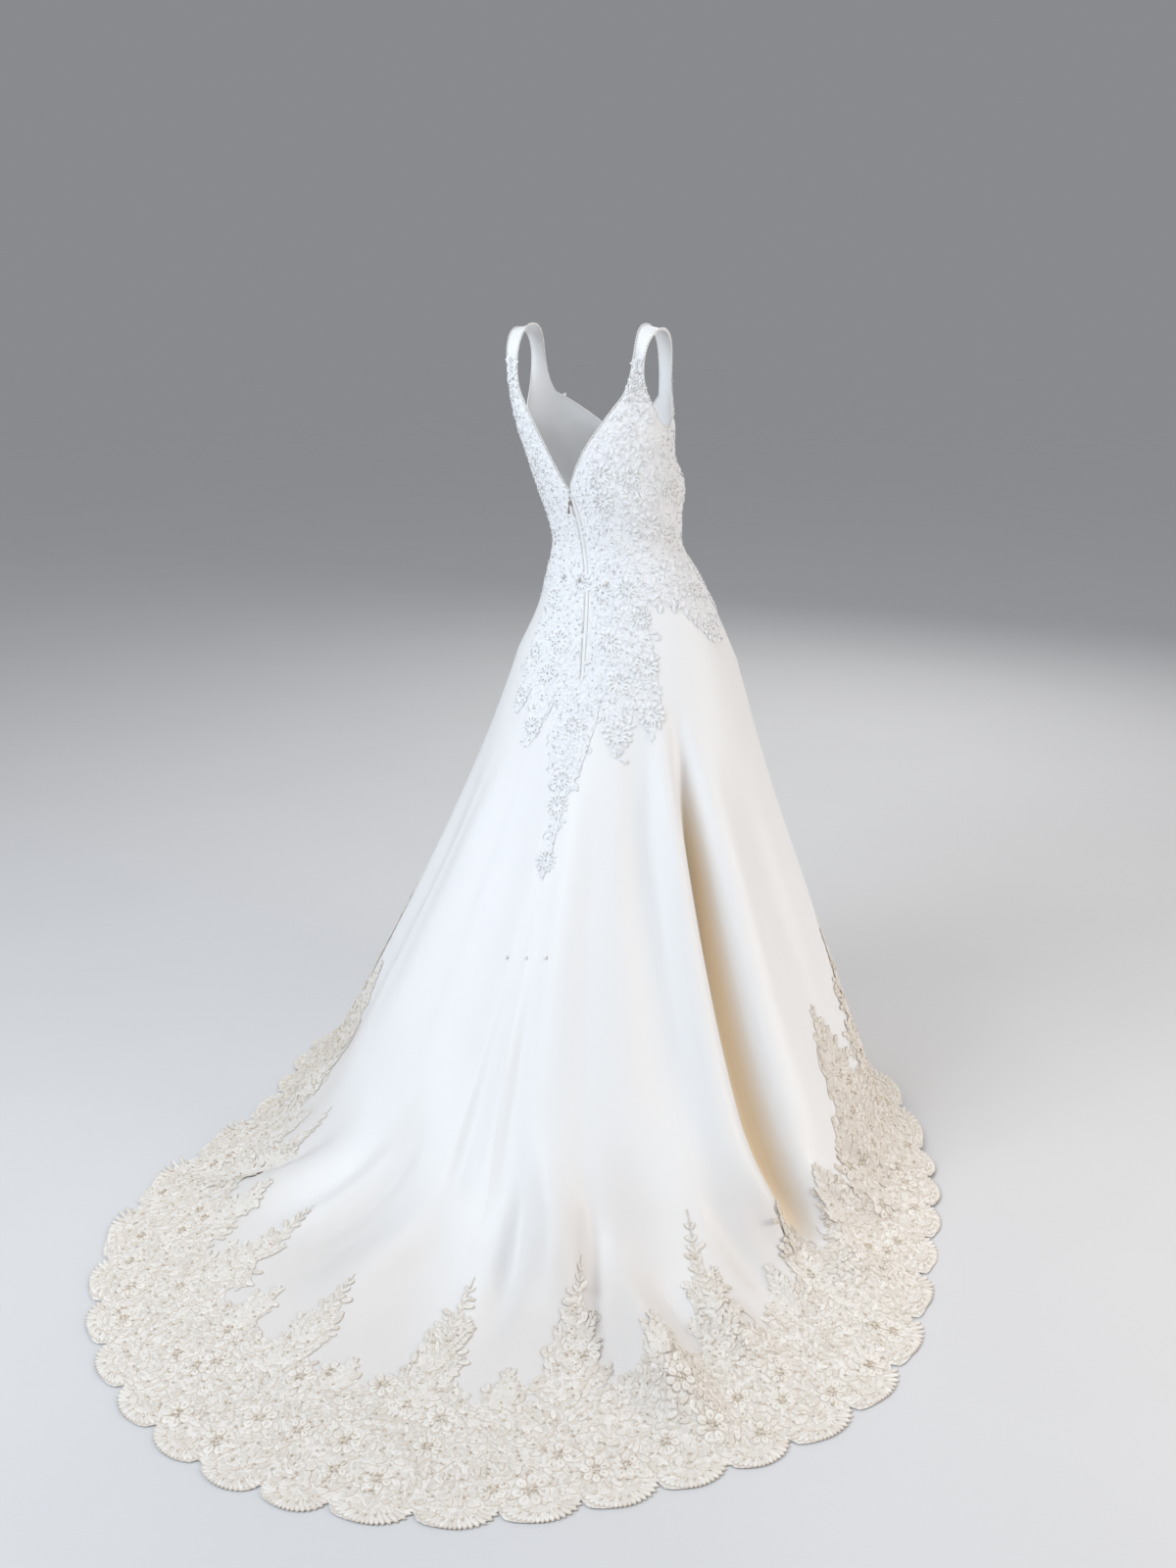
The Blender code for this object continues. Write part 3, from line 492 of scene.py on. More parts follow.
def front_side_angles(side):
    """From the front princess seam to the strap's outer edge, and the side seam under it."""
    def angle(s, depth):
        near, far = line(depth, FRONT_PRINCESS), line(depth, FRONT_SIDE_LINE)
        share = s if side > 0 else 1.0 - s
        return side * (near + (far - near) * share) % 360.0
    return angle


def back_side_angles(side):
    """From the side seam to the back princess seam."""
    def angle(s, depth):
        share = s if side > 0 else 1.0 - s
        near, far = 90.0, 180.0 - line(depth, BACK_PRINCESS)
        return side * (near + (far - near) * share) % 360.0
    return angle


def back_side_depth(side):
    """The top edge is the armhole, from the underarm up to the princess seam."""
    def lowered(s, depth):
        share = s if side > 0 else 1.0 - s
        return topped(depth, UNDERARM - (UNDERARM - ARMHOLE_BACK) * share, UNDERARM, 0.20)
    return lowered


NECK_BOW = 1.3  # power of the share across, 1 for a straight-sided V


def front_centre_angle(s, depth):
    """From the right princess seam to the left one."""
    return (2.0 * s - 1.0) * line(depth, FRONT_PRINCESS)


def front_centre_depth(s, depth):
    """The top edge is the neckline, a V with slightly bowed sides."""
    top = FRONT_V - (FRONT_V - STRAP_ROOT) * np.abs(2.0 * s - 1.0) ** NECK_BOW
    return topped(depth, top, STRAP_ROOT, WAIST)


class Panel:
    """Where a panel's share s across it (0 to 1) and its depth lie on the cloth. cuts are width,
    length and area in metres of its satin, bodice lace and hem lace, laid flat."""

    def __init__(self, name, angles, first, depths, strap_towards, *cuts):
        self.name, self.angles, self.first, self.depths = name, angles, first, depths
        self.strap_towards, self.cuts = strap_towards, cuts

    def sheet(self, made, which, held, rests_on, with_pieces=()):
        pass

    def on_cloth(self, s, depth):
        """Angle and depth on the cloth of places on the panel."""
        s, depth = np.broadcast_arrays(np.asarray(s, float), np.asarray(depth, float))
        lowered = self.depths(s, depth) if self.depths else depth
        return self.angles(s, lowered), lowered

    def surface(self, s, depth):
        """Points of the panel, with its strap if it has one."""
        def below(s, depth):
            return dress(*self.on_cloth(s, depth))
        if self.strap_towards:
            return with_strap(below, self.strap_towards)(s, depth)
        return below(s, depth)

    def at_places(self, s, depth):
        """Points and normals at a run of places."""
        return (self.surface(s[None], depth[None])[0],
                outward_by(self.surface, s[None], depth[None])[0])

    def grid(self, columns, depths):
        """Points and normals at shares and depths, kept back from the seams."""
        s, depth = np.meshgrid(columns, depths, indexing="ij")
        ends = self.surface(np.array([[0.0], [1.0]]), np.array([depths]))
        inset = SEAM / 2 / np.linalg.norm(ends[1] - ends[0], axis=-1)
        s = inset + s * (1.0 - 2.0 * inset)
        return s, depth, self.surface(s, depth), outward_by(self.surface, s, depth)


def outward_by(surface, s, depth):
    """Unit normals of a panel, from steps of a hundredth of its width."""
    across = surface(s + 5e-3, depth) - surface(s - 5e-3, depth)
    down = surface(s, depth + 1e-4) - surface(s, depth - 1e-4)
    return unit(np.cross(down, across))


# Width, length and area of the satin, the bodice lace and the hem lace of each pair of panels
FRONT_SIDE = (0.61, 1.62, 0.43), (0.25, 0.66, 0.089), (0.72, 0.48, 0.221)
BACK_SIDE = (0.85, 1.82, 0.57), (0.24, 0.60, 0.075), (0.99, 0.63, 0.317)
BACK = (0.69, 2.13, 0.50), (0.22, 1.01, 0.101), (0.82, 0.72, 0.33)
PANELS = [
    Panel("front_centre", front_centre_angle, STRAP_ROOT, front_centre_depth, 0,
          (0.37, 1.45, 0.28), (0.31, 0.60, 0.064), (0.44, 0.46, 0.139)),
    Panel("front_side_left", front_side_angles(1), 0.0, None, -1, *FRONT_SIDE),
    Panel("front_side_right", front_side_angles(-1), 0.0, None, -1, *FRONT_SIDE),
    Panel("back_side_left", back_side_angles(1), UNDERARM, back_side_depth(1), 0, *BACK_SIDE),
    Panel("back_side_right", back_side_angles(-1), UNDERARM, back_side_depth(-1), 0, *BACK_SIDE),
    Panel("back_left", back_angles(1), 0.0, None, 1, *BACK),
    Panel("back_right", back_angles(-1), 0.0, None, 1, *BACK),
]
BY_NAME = {panel.name: panel for panel in PANELS}


def grid_faces(n, m):
    """Four-sided faces of a grid of n by m points, across then down, facing outwards."""
    index = np.arange(n * m).reshape(n, m)
    a, b, c, d = index[:-1, :-1], index[1:, :-1], index[1:, 1:], index[:-1, 1:]
    return np.stack([a, d, c, b], axis=-1).reshape(-1, 4)


def piece(name, points, faces, material, slot, attributes=None, replaces=(), wall=0.0):
    """A smooth mesh that rides on the dress: points, equal faces, and values at each point."""
    mesh = bpy.data.meshes.new(name)
    points, faces = np.asarray(points, float).reshape(-1, 3), np.asarray(faces)
    count, sides = faces.shape
    mesh.vertices.add(len(points))
    mesh.vertices.foreach_set("co", points.ravel())
    mesh.loops.add(count * sides)
    mesh.loops.foreach_set("vertex_index", faces.ravel())
    mesh.polygons.add(count)
    mesh.polygons.foreach_set("loop_start", np.arange(count) * sides)
    mesh.update(calc_edges=True)
    mesh.validate()
    for key, values in (attributes or {}).items():
        mesh.attributes.new(key, "FLOAT", "POINT").data.foreach_set("value", np.ravel(values))
    mesh.shade_smooth()
    edges = np.zeros(len(mesh.loops), int)
    mesh.loops.foreach_get("edge_index", edges)
    border = np.bincount(edges, minlength=len(mesh.edges)) == 1
    mesh.attributes.new("sharp_edge", "BOOLEAN", "EDGE").data.foreach_set("value", border)
    mesh.materials.append(material)
    made = bpy.data.objects.new(name, mesh)
    bpy.context.scene.collection.objects.link(made)
    if wall:
        thick = made.modifiers.new("wall", "SOLIDIFY")
        thick.thickness, thick.offset = wall, -1.0
    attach(made, "dress")
    if replaces:
        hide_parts(*replaces)
    return made


def grid_piece(name, points, *rest):
    """A piece whose points are a grid, across then down."""
    return piece(name, points, grid_faces(*points.shape[:2]), *rest)


satin = Finish("ivory satin")
soft = satin.noise(2.2, 3.0)
ivory = satin.mix(soft, (0.90, 0.905, 0.92), (0.93, 0.925, 0.915))
greyer = satin.mix(satin.attribute("greyed"), ivory, (0.80, 0.768, 0.742))
yarn = satin.noise(420.0, 1.0)
crinkle = satin.noise(26.0, 4.0)
# Painted warm light: deep folds are mixed towards gold in the satin's colour, standing for warm light
# reflected into them.
satin.set(
    Base_Color=satin.mix(satin.attribute("tucked"), greyer, (0.87, 0.73, 0.54)),
    Roughness=satin.noise(9.0, 2.0) * 0.12 + 0.42,
    Normal=satin.bump(crinkle * 0.85 + yarn * 0.15, 0.35, 0.0012),
)
satin.shader.inputs["Sheen Weight"].default_value = 0.25
satin.shader.inputs["Sheen Roughness"].default_value = 0.4

BODY_STEP, SKIRT_STEP, COLUMNS = 0.0095, 0.0085, 49  # depth between rows, and points across a panel
LOWER_DEPTHS = np.linspace(HIP, HEM, int(1.0 / SKIRT_STEP))
SATIN_WALL = 0.0012
# Painted warm light: the golden tint of deep folds stands for warm light reflected into them.
SHALLOW, TUCK = 0.014, 0.060  # depths of a fold where its golden tint starts and is full
GREY_FROM, GREY_FULL = 1.12, 1.40  # depths between which the train's satin turns greyer
TRAIN_MIDDLE, TRAIN_HALF, TRAIN_SOFT = 176.0, 66.0, 20.0  # degrees of cloth that turn greyer
satin_pieces = {}
for panel in PANELS:
    upper = np.linspace(panel.first, HIP, int((HIP - panel.first) / BODY_STEP))
    depths = np.concatenate([upper[:-1], LOWER_DEPTHS])
    share, depth, points, _ = panel.grid(np.linspace(0, 1, COLUMNS), depths)
    cloth_angle, cloth_depth = panel.on_cloth(share, depth)
    # painted warm light in each fold, from none at the shallow depth to full at the deep one
    tucked = eased((-fold_height(cloth_angle, cloth_depth) - SHALLOW) / (TUCK - SHALLOW))
    patchy = 0.05 * np.sin(cloth_angle / 5.0) + 0.03 * np.sin(cloth_angle / 2.3 + 1.0)
    on_train = eased((TRAIN_HALF - np.abs(turn_between(cloth_angle, TRAIN_MIDDLE))) / TRAIN_SOFT)
    greyed = on_train * eased((cloth_depth + patchy - GREY_FROM) / (GREY_FULL - GREY_FROM))
    made = grid_piece(panel.name + "_satin", points, satin.material, "satin",
                      {"tucked": tucked, "greyed": greyed}, [panel.name], SATIN_WALL)
    panel.sheet(made, 0, "hung", [floor] if panel.name.startswith("back") else [])
    satin_pieces[panel.name] = made

# ---------------------------------------------------------------------------------------------
# Lace ground: a fine net under all the embroidery, one piece on each panel of the bodice and one
# round each panel's hem. Its ragged edge lies by the outermost motifs, so it shows between them.


def cloth(angle, depth):
    """The satin, carried straight on past the hem, metre for metre, but never under the floor."""
    angle, depth = np.broadcast_arrays(angle, depth)
    over = np.maximum(depth - HEM, 0.0)[..., None]
    run = unit(dress(angle, np.full_like(depth, HEM)) - dress(angle, np.full_like(depth, HEM - 0.01)))
    points = dress(angle, np.minimum(depth, HEM)) + over * run
    points[..., 2] = np.maximum(points[..., 2], FLOOR + WALL)
    return points


def frames(angle, depth):
    """Points of the cloth with unit vectors across, up and outwards, and metres per degree and
    per unit of depth, from small steps each way."""
    by_degree = (cloth(angle + 0.2, depth) - cloth(angle - 0.2, depth)) / 0.4
    by_depth = (cloth(angle, depth + 0.002) - cloth(angle, depth - 0.002)) / 0.004
    normal, up = unit(np.cross(by_depth, by_degree)), -unit(by_depth)
    sizes = np.linalg.norm(by_degree, axis=-1), np.linalg.norm(by_depth, axis=-1)
    return cloth(angle, depth), np.cross(up, normal), up, normal, *sizes


def moved(angle, depth, across, up):
    """Angle and depth after going some metres across and up the cloth."""
    _, _, _, _, degree, deep = frames(angle, depth)
    return angle + across / degree, depth - up / deep


# Lower edge of the bodice lace: level over the hips, lower round the back, with pendants that
# are the same on both sides: degrees from the centre back, depth of the tip, half width
LACE_LEVEL, LACE_BACK_DROP, LACE_BACK_REACH = 0.455, 0.145, 44.0
PENDANTS = np.array([
    (0, 0.735, 15), (0, 0.83, 4.5), (24, 0.68, 9), (40, 0.655, 8), (88, 0.535, 16),
    (118, 0.50, 12), (148, 0.52, 16), (180, 0.61, 17),
])


def bodice_inside(angle, depth):
    """Depth left above the lower edge of the bodice lace: the lowest of its level and pendants."""
    from_back = np.abs(turn_between(angle, 180.0))
    level = LACE_LEVEL + LACE_BACK_DROP * (1.0 - eased((from_back - LACE_BACK_REACH + 6.0) / 12.0))
    edge = level + 0.008 * np.sin(angle / 1.3)
    for at, tip, half_width in PENDANTS:
        away = np.abs(from_back - at) / half_width
        edge = np.maximum(edge, level + (tip - level) * np.clip(1.0 - away ** 1.8, 0.0, None))
    return edge - depth


# Pointed sprays round the hem, a tall and a short one by turns, over a band of whole lace: heights
# and widths in metres, up the cloth from the hem and along it. No two are quite alike.
SPRAY_PITCH, SPRAY_TALL, SPRAY_SHORT, SPRAY_HALF_WIDTH = 0.145, 0.37, 0.275, 0.060
BAND_HEIGHT = 0.185
WINDOW_LEVEL, WINDOW_STEEP = 1.28, 0.14
ROUND = np.arange(0.0, 360.5, 0.5)
METRES_DEEP = frames(ROUND, np.full_like(ROUND, HEM - 0.12))[5]


def above_hem(angle, height):
    """Depth that lies some metres up the cloth from the hem."""
    return HEM - height / np.interp(np.mod(angle, 360.0), ROUND, METRES_DEEP)


hem_line = dress(ROUND, np.full_like(ROUND, HEM))
ALONG_HEM = np.append(0.0, np.cumsum(np.linalg.norm(np.diff(hem_line, axis=0), axis=1)))
draw = np.random.default_rng(5)
many = 2 * round(ALONG_HEM[-1] / SPRAY_PITCH / 2)
place = (np.arange(many) + draw.uniform(-0.16, 0.16, many)) % many
at = np.interp(place / many * ALONG_HEM[-1], ALONG_HEM, ROUND)
tall = np.where(np.arange(many) % 2, SPRAY_TALL, SPRAY_SHORT) + draw.uniform(-0.035, 0.035, many)
SPRAYS = np.stack([at, above_hem(at, tall)], axis=-1)


def hem_inside(angle, depth):
    """Depth below the inner edge of the hem lace: each spray is a tent, steep at its tip. Two
    crossed waves wear a few small windows in it where both are highest."""
    _, _, _, _, degree, _ = frames(angle, depth)
    whole = above_hem(angle, BAND_HEIGHT)
    edge = whole
    for at, tip in SPRAYS:
        lobes = 1.0 + 0.28 * np.sin(depth * 150.0 + at) + 0.18 * np.sin(depth * 67.0 + 2.0 * at)
        away = np.abs(turn_between(angle, at)) * degree / (SPRAY_HALF_WIDTH * lobes)
        edge = np.minimum(edge, tip + (whole - tip) * np.minimum(away, 1.0) ** 0.9
                          + 10 * (away > 1.0))
    crossed = np.sin(0.42 * angle + 2.5 * np.sin(23.0 * depth)) * np.sin(41.0 * depth + 0.37 * angle)
    window = crossed + 0.25 * np.sin(1.7 * angle)
    return np.minimum(depth - edge, WINDOW_STEEP * (WINDOW_LEVEL - window))


def thread_finish(name, gap, dark, light, cell, bump_depth):
    """Corded thread: two colours by tone and painted shade, turning to a third, the gap's, away
    from each cord.
    """
    made = Finish(name)
    cells = made.cells(cell)
    tint = made.attribute("tint")
    thread = made.mix(tint, dark, light)
    made.set(Base_Color=made.mix(cells * 0.25, thread, gap), Roughness=0.62 + 0.12 * tint,
             Normal=made.bump(cells + 0.5 * made.noise(cell * 3.0, 2.0), 0.5, bump_depth))
    made.shader.inputs["Sheen Weight"].default_value = 0.15
    return made


def net_finish(name, ground, cord, cell):
    """Corded net: pale cords on a ground, cut away past a ragged edge inside the piece."""
    made = Finish(name)
    web = made.cells(cell, "DISTANCE_TO_EDGE")
    fine = made.cells(cell * 2.3)
    ragged = made.attribute("inside") + 0.012 * made.noise(60.0, 2.0) - 0.014
    cords = made.node("ShaderNodeMapRange", {}, {"Value": web, "From Min": 0.02, "From Max": 0.22,
                                                 "To Min": 1.0, "To Max": 0.0})[0]
    made.set(Base_Color=made.mix(cords * 0.7 + fine * 0.3, ground, cord), Roughness=0.7,
             Normal=made.bump(cords + 0.4 * fine, 0.7, 0.0014), Alpha=ragged > 0.0)
    return made


bodice_net = net_finish("bodice net", (0.92, 0.93, 0.95), (0.97, 0.97, 0.98), 95.0)
hem_net = net_finish("hem net", (0.70, 0.65, 0.585), (0.90, 0.865, 0.825), 90.0)

NET_LIFT = 0.0009  # height of the net above the satin
STRAP_LACE = 0.092  # depth on the straps where the lace starts
LAP_WIDTH, GROOVE = 0.0068, 0.0012  # the zip's lap, and the bare satin on each side of it
SCALLOP_WIDTH, SCALLOP_COLUMNS, BORDER_ROWS = 0.105, 10, 5
BORDER_EDGE, BORDER_REACH = 0.008, 0.027  # border past the hem between scallops, and more in one
LACE_STEP, NET_COLUMNS = 0.008, 25
LACE_TOP, LACE_END, BACK_LACE_END, HEM_LACE_TOP = 0.075, 0.66, 0.86, 1.10  # depths of the nets


def scallops(panel):
    """How many scallops go along a panel's hem, so that each is close to its usual width."""
    hem_line = panel.surface(np.linspace(0, 1, 50), np.full(50, HEM))
    return round(np.linalg.norm(np.diff(hem_line, axis=0), axis=-1).sum() / SCALLOP_WIDTH)


LACE_ROWS = np.arange(LACE_TOP, BACK_LACE_END, LACE_STEP)
HEM_ROWS = np.append(np.arange(HEM_LACE_TOP, HEM, LACE_STEP), HEM)
net_pieces = {}
for panel in PANELS:
    at_zip = panel.name in ("back_left", "back_right")
    lowest = BACK_LACE_END if at_zip else LACE_END
    rows = LACE_ROWS[(LACE_ROWS > panel.first) & (LACE_ROWS < lowest)]
    share, depth, points, normals = panel.grid(np.linspace(0, 1, NET_COLUMNS), rows)
    angle, deep = panel.on_cloth(share, depth)
    inside = bodice_inside(angle, deep)
    if panel.strap_towards:
        inside = np.minimum(inside, depth - STRAP_LACE)
    if at_zip:
        beside = turn_between(angle, 180.0) * np.linalg.norm(
            dress(angle + 0.5, deep) - dress(angle - 0.5, deep), axis=-1)
        edge = -beside - GROOVE if panel.name == "back_left" else beside - LAP_WIDTH - GROOVE
        below = HIP + 0.015 - deep
        inside = np.where((below > 0) & (deep > BACK_V - 0.01), np.minimum(inside, edge * 4), inside)
    nodes = ["lace_" + panel.name] + (["lace_tail"] if panel.name == "back_left" else [])
    net_pieces[panel.name] = grid_piece(panel.name + "_lace_net", points + NET_LIFT * normals,
                                        bodice_net.material, "corded_lace", {"inside": inside}, nodes)

    columns = np.linspace(0, 1, scallops(panel) * SCALLOP_COLUMNS + 1)
    share, depth, points, normals = panel.grid(columns, HEM_ROWS)
    angle, deep = panel.on_cloth(share, depth)
    arch = np.sqrt(np.clip(1 - (2 * np.mod(columns * scallops(panel), 1.0) - 1) ** 2, 0, 1))
    beyond = (0.8 * BORDER_EDGE + 0.9 * BORDER_REACH * arch)[:, None] * np.linspace(0.2, 1, BORDER_ROWS)
    skirting = cloth(angle[:, -1:], HEM + beyond)
    points = np.concatenate([points, skirting], axis=1)
    normals = np.concatenate([normals, np.repeat(normals[:, -1:], BORDER_ROWS, axis=1)], axis=1)
    inside = np.concatenate([hem_inside(angle, deep), np.full(beyond.shape, 0.1)], axis=1)
    net_pieces["hem_" + panel.name] = grid_piece(
        panel.name + "_hem_net", points + NET_LIFT * normals, hem_net.material, "corded_lace",
        {"inside": inside}, ["hem_" + panel.name])

# ---------------------------------------------------------------------------------------------
# Embroidery: corded leaves, flowers with beaded hearts, medallions of long beads, scrolls of
# cord, and the fans of the scalloped edge, worked on the net and gathered into a piece a panel.

SIDES = 8
turn = np.linspace(0, 2 * np.pi, SIDES, endpoint=False)
outline = np.stack([0.5 * np.sin(turn) * (1 - 0.18 * np.cos(turn)), 0.5 - 0.5 * np.cos(turn)], -1)


def leaf():
    """A leaf with a corded rim: a low centre, a high ring and an edge on the cloth. The last
    column is painted shade: darkest where the edge meets the net, lighter in the low centre
    and lightest on the high ring."""
    centre = np.array([0.0, 0.5])
    ring = centre + (outline - centre) * 0.72
    high, low = np.array([1.0, 1.0]), np.array([0.0, 0.0])
    points = np.concatenate([[[*centre, 0.3, 0.7]], np.hstack([ring, np.tile(high, (SIDES, 1))]),
                             np.hstack([outline, np.tile(low, (SIDES, 1))])])
    k = np.arange(SIDES)
    after = (k + 1) % SIDES
    faces = np.concatenate([
        np.stack([0 * k, 1 + after, 1 + k], -1),
        np.stack([1 + k, 1 + after, 1 + SIDES + after], -1),
        np.stack([1 + k, 1 + SIDES + after, 1 + SIDES + k], -1),
    ])
    return points, faces


def drop():
    """A bead, round from above: a foot, a shoulder and a top, closed underneath."""
    around_six = np.linspace(0, 2 * np.pi, 6, endpoint=False)
    circle = np.stack([0.5 * np.sin(around_six), 0.5 + 0.5 * np.cos(around_six)], -1)
    shoulder = [0.0, 0.5] + (circle - [0.0, 0.5]) * 0.8
    points = np.concatenate([[[0, 0.5, 0]], np.insert(circle, 2, 0.25, axis=1),
                             np.insert(shoulder, 2, 0.8, axis=1), [[0, 0.5, 1]]])
    points = np.insert(points, 3, 1.0, axis=1)
    k = np.arange(6)
    after = (k + 1) % 6
    faces = np.concatenate([
        np.stack([0 * k, 1 + k, 1 + after], -1),
        np.stack([1 + k, 7 + k, 7 + after], -1), np.stack([1 + k, 7 + after, 1 + after], -1),
        np.stack([13 + 0 * k, 7 + after, 7 + k], -1),
    ])
    return points, faces


LEAF, DROP = leaf(), drop()
THREAD, BEAD = 0, 1


class Embroidery:
    """Gathers motifs as points and triangles, with the panel, tone and painted shade, and finish of each.
    """

    def __init__(self):
        self.points, self.faces, self.panels, self.tints, self.finishes, self.count = [], [], [], [], [], 0

    def keep(self, points, faces, panels, tint, finish):
        """points is motifs by corners by 3, tone and painted shade motifs by corners, and faces those of
        one motif.
        """
        motifs, corners = points.shape[:2]
        base = self.count + corners * np.arange(motifs)[:, None, None]
        self.points.append(points.reshape(-1, 3))
        self.faces.append((faces[None] + base).reshape(-1, 3))
        self.panels.append(np.repeat(np.broadcast_to(panels, motifs), len(faces)))
        self.tints.append(tint.ravel())
        self.finishes.append(np.full(motifs * len(faces), finish))
        self.count += motifs * corners

    def lay(self, shape, angle, depth, turned, length, width, height, lift, tint, finish=THREAD):
        """Lays one shape on the cloth at many places, each turned from straight up."""
        here, across, up, normal, _, _ = frames(angle, depth)
        self.put(shape, here, across, up, normal, panel_at(angle, depth), turned, length, width,
                 height, lift, tint, finish)

    def put(self, shape, here, across, up, normal, panels, turned, length, width, height, lift,
            tint, finish):
        """The same with the frame of each place given."""
        turned, length, width = (np.broadcast_to(v, len(here))[:, None] for v in (turned, length, width))
        along = np.cos(turned) * up + np.sin(turned) * across
        side = np.cos(turned) * across - np.sin(turned) * up
        x, y, z = (shape[0][None, :, k, None] for k in range(3))
        points = (here[:, None] + x * (width * side)[:, None] + y * (length * along)[:, None]
                  + (z * height + lift) * normal[:, None])
        points[..., 2] = np.maximum(points[..., 2], FLOOR + 0.0006)
        # the tone times the shape's last column, painted shade that is darkest at a leaf's rim on the net
        tint = np.broadcast_to(tint, len(here))[:, None] * shape[0][None, :, 3]
        self.keep(points, shape[1], panels, tint, finish)

    def cords(self, angle, depth, heading, bend, length, width, tint, steps=9):
        """Scrolls: a heading that turns faster along the way, as a strip with a raised middle."""
        t = np.linspace(0, 1, steps)
        way = heading[:, None] + bend[:, None] * t * (0.5 + 0.5 * t)
        step = length[:, None] / (steps - 1)
        run = np.cumsum(np.sin(way) * step, axis=1)
        rise = np.cumsum(np.cos(way) * step, axis=1)
        angles, depths = moved(angle[:, None], depth[:, None], run, rise)
        here, across, up, normal, _, _ = frames(angles, depths)
        side = np.cos(way)[..., None] * across - np.sin(way)[..., None] * up
        half = 0.5 * width * (1 - 0.5 * t)[None, :, None]
        points = np.stack([here - half * side + NET_LIFT * normal,
                           here + (NET_LIFT + 0.0011) * normal,
                           here + half * side + NET_LIFT * normal], axis=2)
        k = 3 * np.arange(steps - 1)[:, None]
        faces = np.concatenate([k + [0, 1, 4], k + [0, 4, 3], k + [1, 2, 5], k + [1, 5, 4]])
        # painted shade and highlight: the strip's edges darkest, its raised middle lightest
        tint = tint[:, None] * np.tile([0.0, 1.0, 0.0], steps)
        self.keep(points.reshape(len(angle), -1, 3), faces[:, ::-1], panel_at(angle, depth), tint, THREAD)

    def finish(self, panel, name, slot, materials):
        """The piece of one panel: only its triangles, with only the points that they use."""
        chosen = np.concatenate(self.panels) == panel
        faces = np.concatenate(self.faces)[chosen]
        used, faces = np.unique(faces, return_inverse=True)
        points, tints = np.concatenate(self.points)[used], np.concatenate(self.tints)[used]
        made = piece(name, points, faces.reshape(-1, 3), materials[0], slot, {"tint": tints})
        made.data.materials.append(materials[1])
        made.data.polygons.foreach_set("material_index", np.concatenate(self.finishes)[chosen])
        return made


def panel_at(angle, depth):
    """Number of the panel that a place lies on."""
    turned = turn_between(angle, 0.0)
    from_front = np.abs(turned)
    seams = line(depth, FRONT_PRINCESS), 90.0, 180.0 - line(depth, BACK_PRINCESS)
    stripe = np.select([from_front < seam for seam in seams], [0, 1, 3], 5)
    return stripe + ((turned < 0) & (stripe > 0))


HIP_BUTTONS = ["hip_button_" + side for side in ("left", "centre", "right")]
BUTTON_PLACES = np.array([np.mean(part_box(name), axis=0) for name in HIP_BUTTONS])
BUTTON_CLEAR = 0.0095  # metres from the middle of a button to the nearest motif


def on_bodice(angle, depth):
    """True on cloth, inside neckline and armholes and clear of the zip's lap and the buttons."""
    front = np.abs(turn_between(angle, 0.0))
    behind = 180.0 - front
    share = np.clip(front / line(depth, FRONT_PRINCESS), 0.0, 1.0)
    neck_front = depth > FRONT_V - (FRONT_V - STRAP_ROOT) * share ** NECK_BOW + 0.006
    neck_back = (behind > line(depth, BACK_V_LINE) + 4.5) | (depth > BACK_V + 0.004)
    hole = (depth > UNDERARM + 0.004) | (front < line(depth, FRONT_SIDE_LINE) - 3.0)
    hole = hole | (behind < line(depth, BACK_PRINCESS) - 3.0)
    degree = np.linalg.norm(dress(angle + 0.5, depth) - dress(angle - 0.5, depth), axis=-1)
    beside = turn_between(angle, 180.0) * degree
    lap = (beside > -0.005) & (beside < LAP_WIDTH + 0.006) & (depth < HIP + 0.02)
    from_button = np.linalg.norm(cloth(angle, depth)[..., None, :] - BUTTON_PLACES, axis=-1).min(-1)
    return neck_front & neck_back & hole & ~lap & (depth > STRAP_ROOT) & (from_button > BUTTON_CLEAR)


def well_inside(angle, depth, margin):
    """True where a place and four more, a margin away on each side of it, are on the bodice."""
    inside = on_bodice(angle, depth)
    for x, y in ((margin, 0), (-margin, 0), (0, margin), (0, -margin)):
        inside &= on_bodice(*moved(angle, depth, x, y))
    return inside


def scattered(draw, spacing, low, high, tries=60000):
    """Places spread evenly over the cloth: many random ones, one kept in each cube of a grid."""
    angle, depth = draw.uniform(0, 360, tries), draw.uniform(low, high, tries)
    cube = np.floor(cloth(angle, depth) / spacing).astype(int)
    kept = np.sort(np.unique(cube, axis=0, return_index=True)[1])
    return angle[kept], depth[kept]


def apart_from(angle, depth, others, distance):
    """True where a place is further than a distance from every one of the others."""
    here, there = cloth(angle, depth), cloth(*others)
    return (np.linalg.norm(here[:, None] - there[None], axis=-1) > distance).all(axis=1)


draw = np.random.default_rng(11)

# Bodice: a medallion in every pendant and others between them, then leaves, scrolls and beads
bodice = Embroidery()


def medallion(work, angle, depth, radius, petals, tint, bead_tint):
    """A flower: petals round a beaded heart, with a long bead on each petal."""
    k = np.tile(np.arange(petals), len(angle))
    a, d, r = (np.repeat(v, petals) for v in (angle, depth, radius))
    heading = 2 * np.pi * k / petals + np.repeat(draw.uniform(0, 1, len(angle)), petals)
    at = moved(a, d, 0.30 * r * np.sin(heading), 0.30 * r * np.cos(heading))
    work.lay(LEAF, *at, heading, 0.78 * r, 1.9 * np.pi * r / petals * 0.75, 0.0020, NET_LIFT,
             tint + 0.2 * draw.uniform(size=len(a)))
    at = moved(a, d, 0.46 * r * np.sin(heading), 0.46 * r * np.cos(heading))
    work.lay(DROP, *at, heading, 0.30 * r, 0.0024, 0.0021, NET_LIFT + 0.0009, bead_tint, BEAD)
    work.lay(DROP, *moved(angle, depth, 0, -0.002), 0.0 * angle, 0.0042, 0.0042, 0.0028,
             NET_LIFT + 0.0005, bead_tint, BEAD)


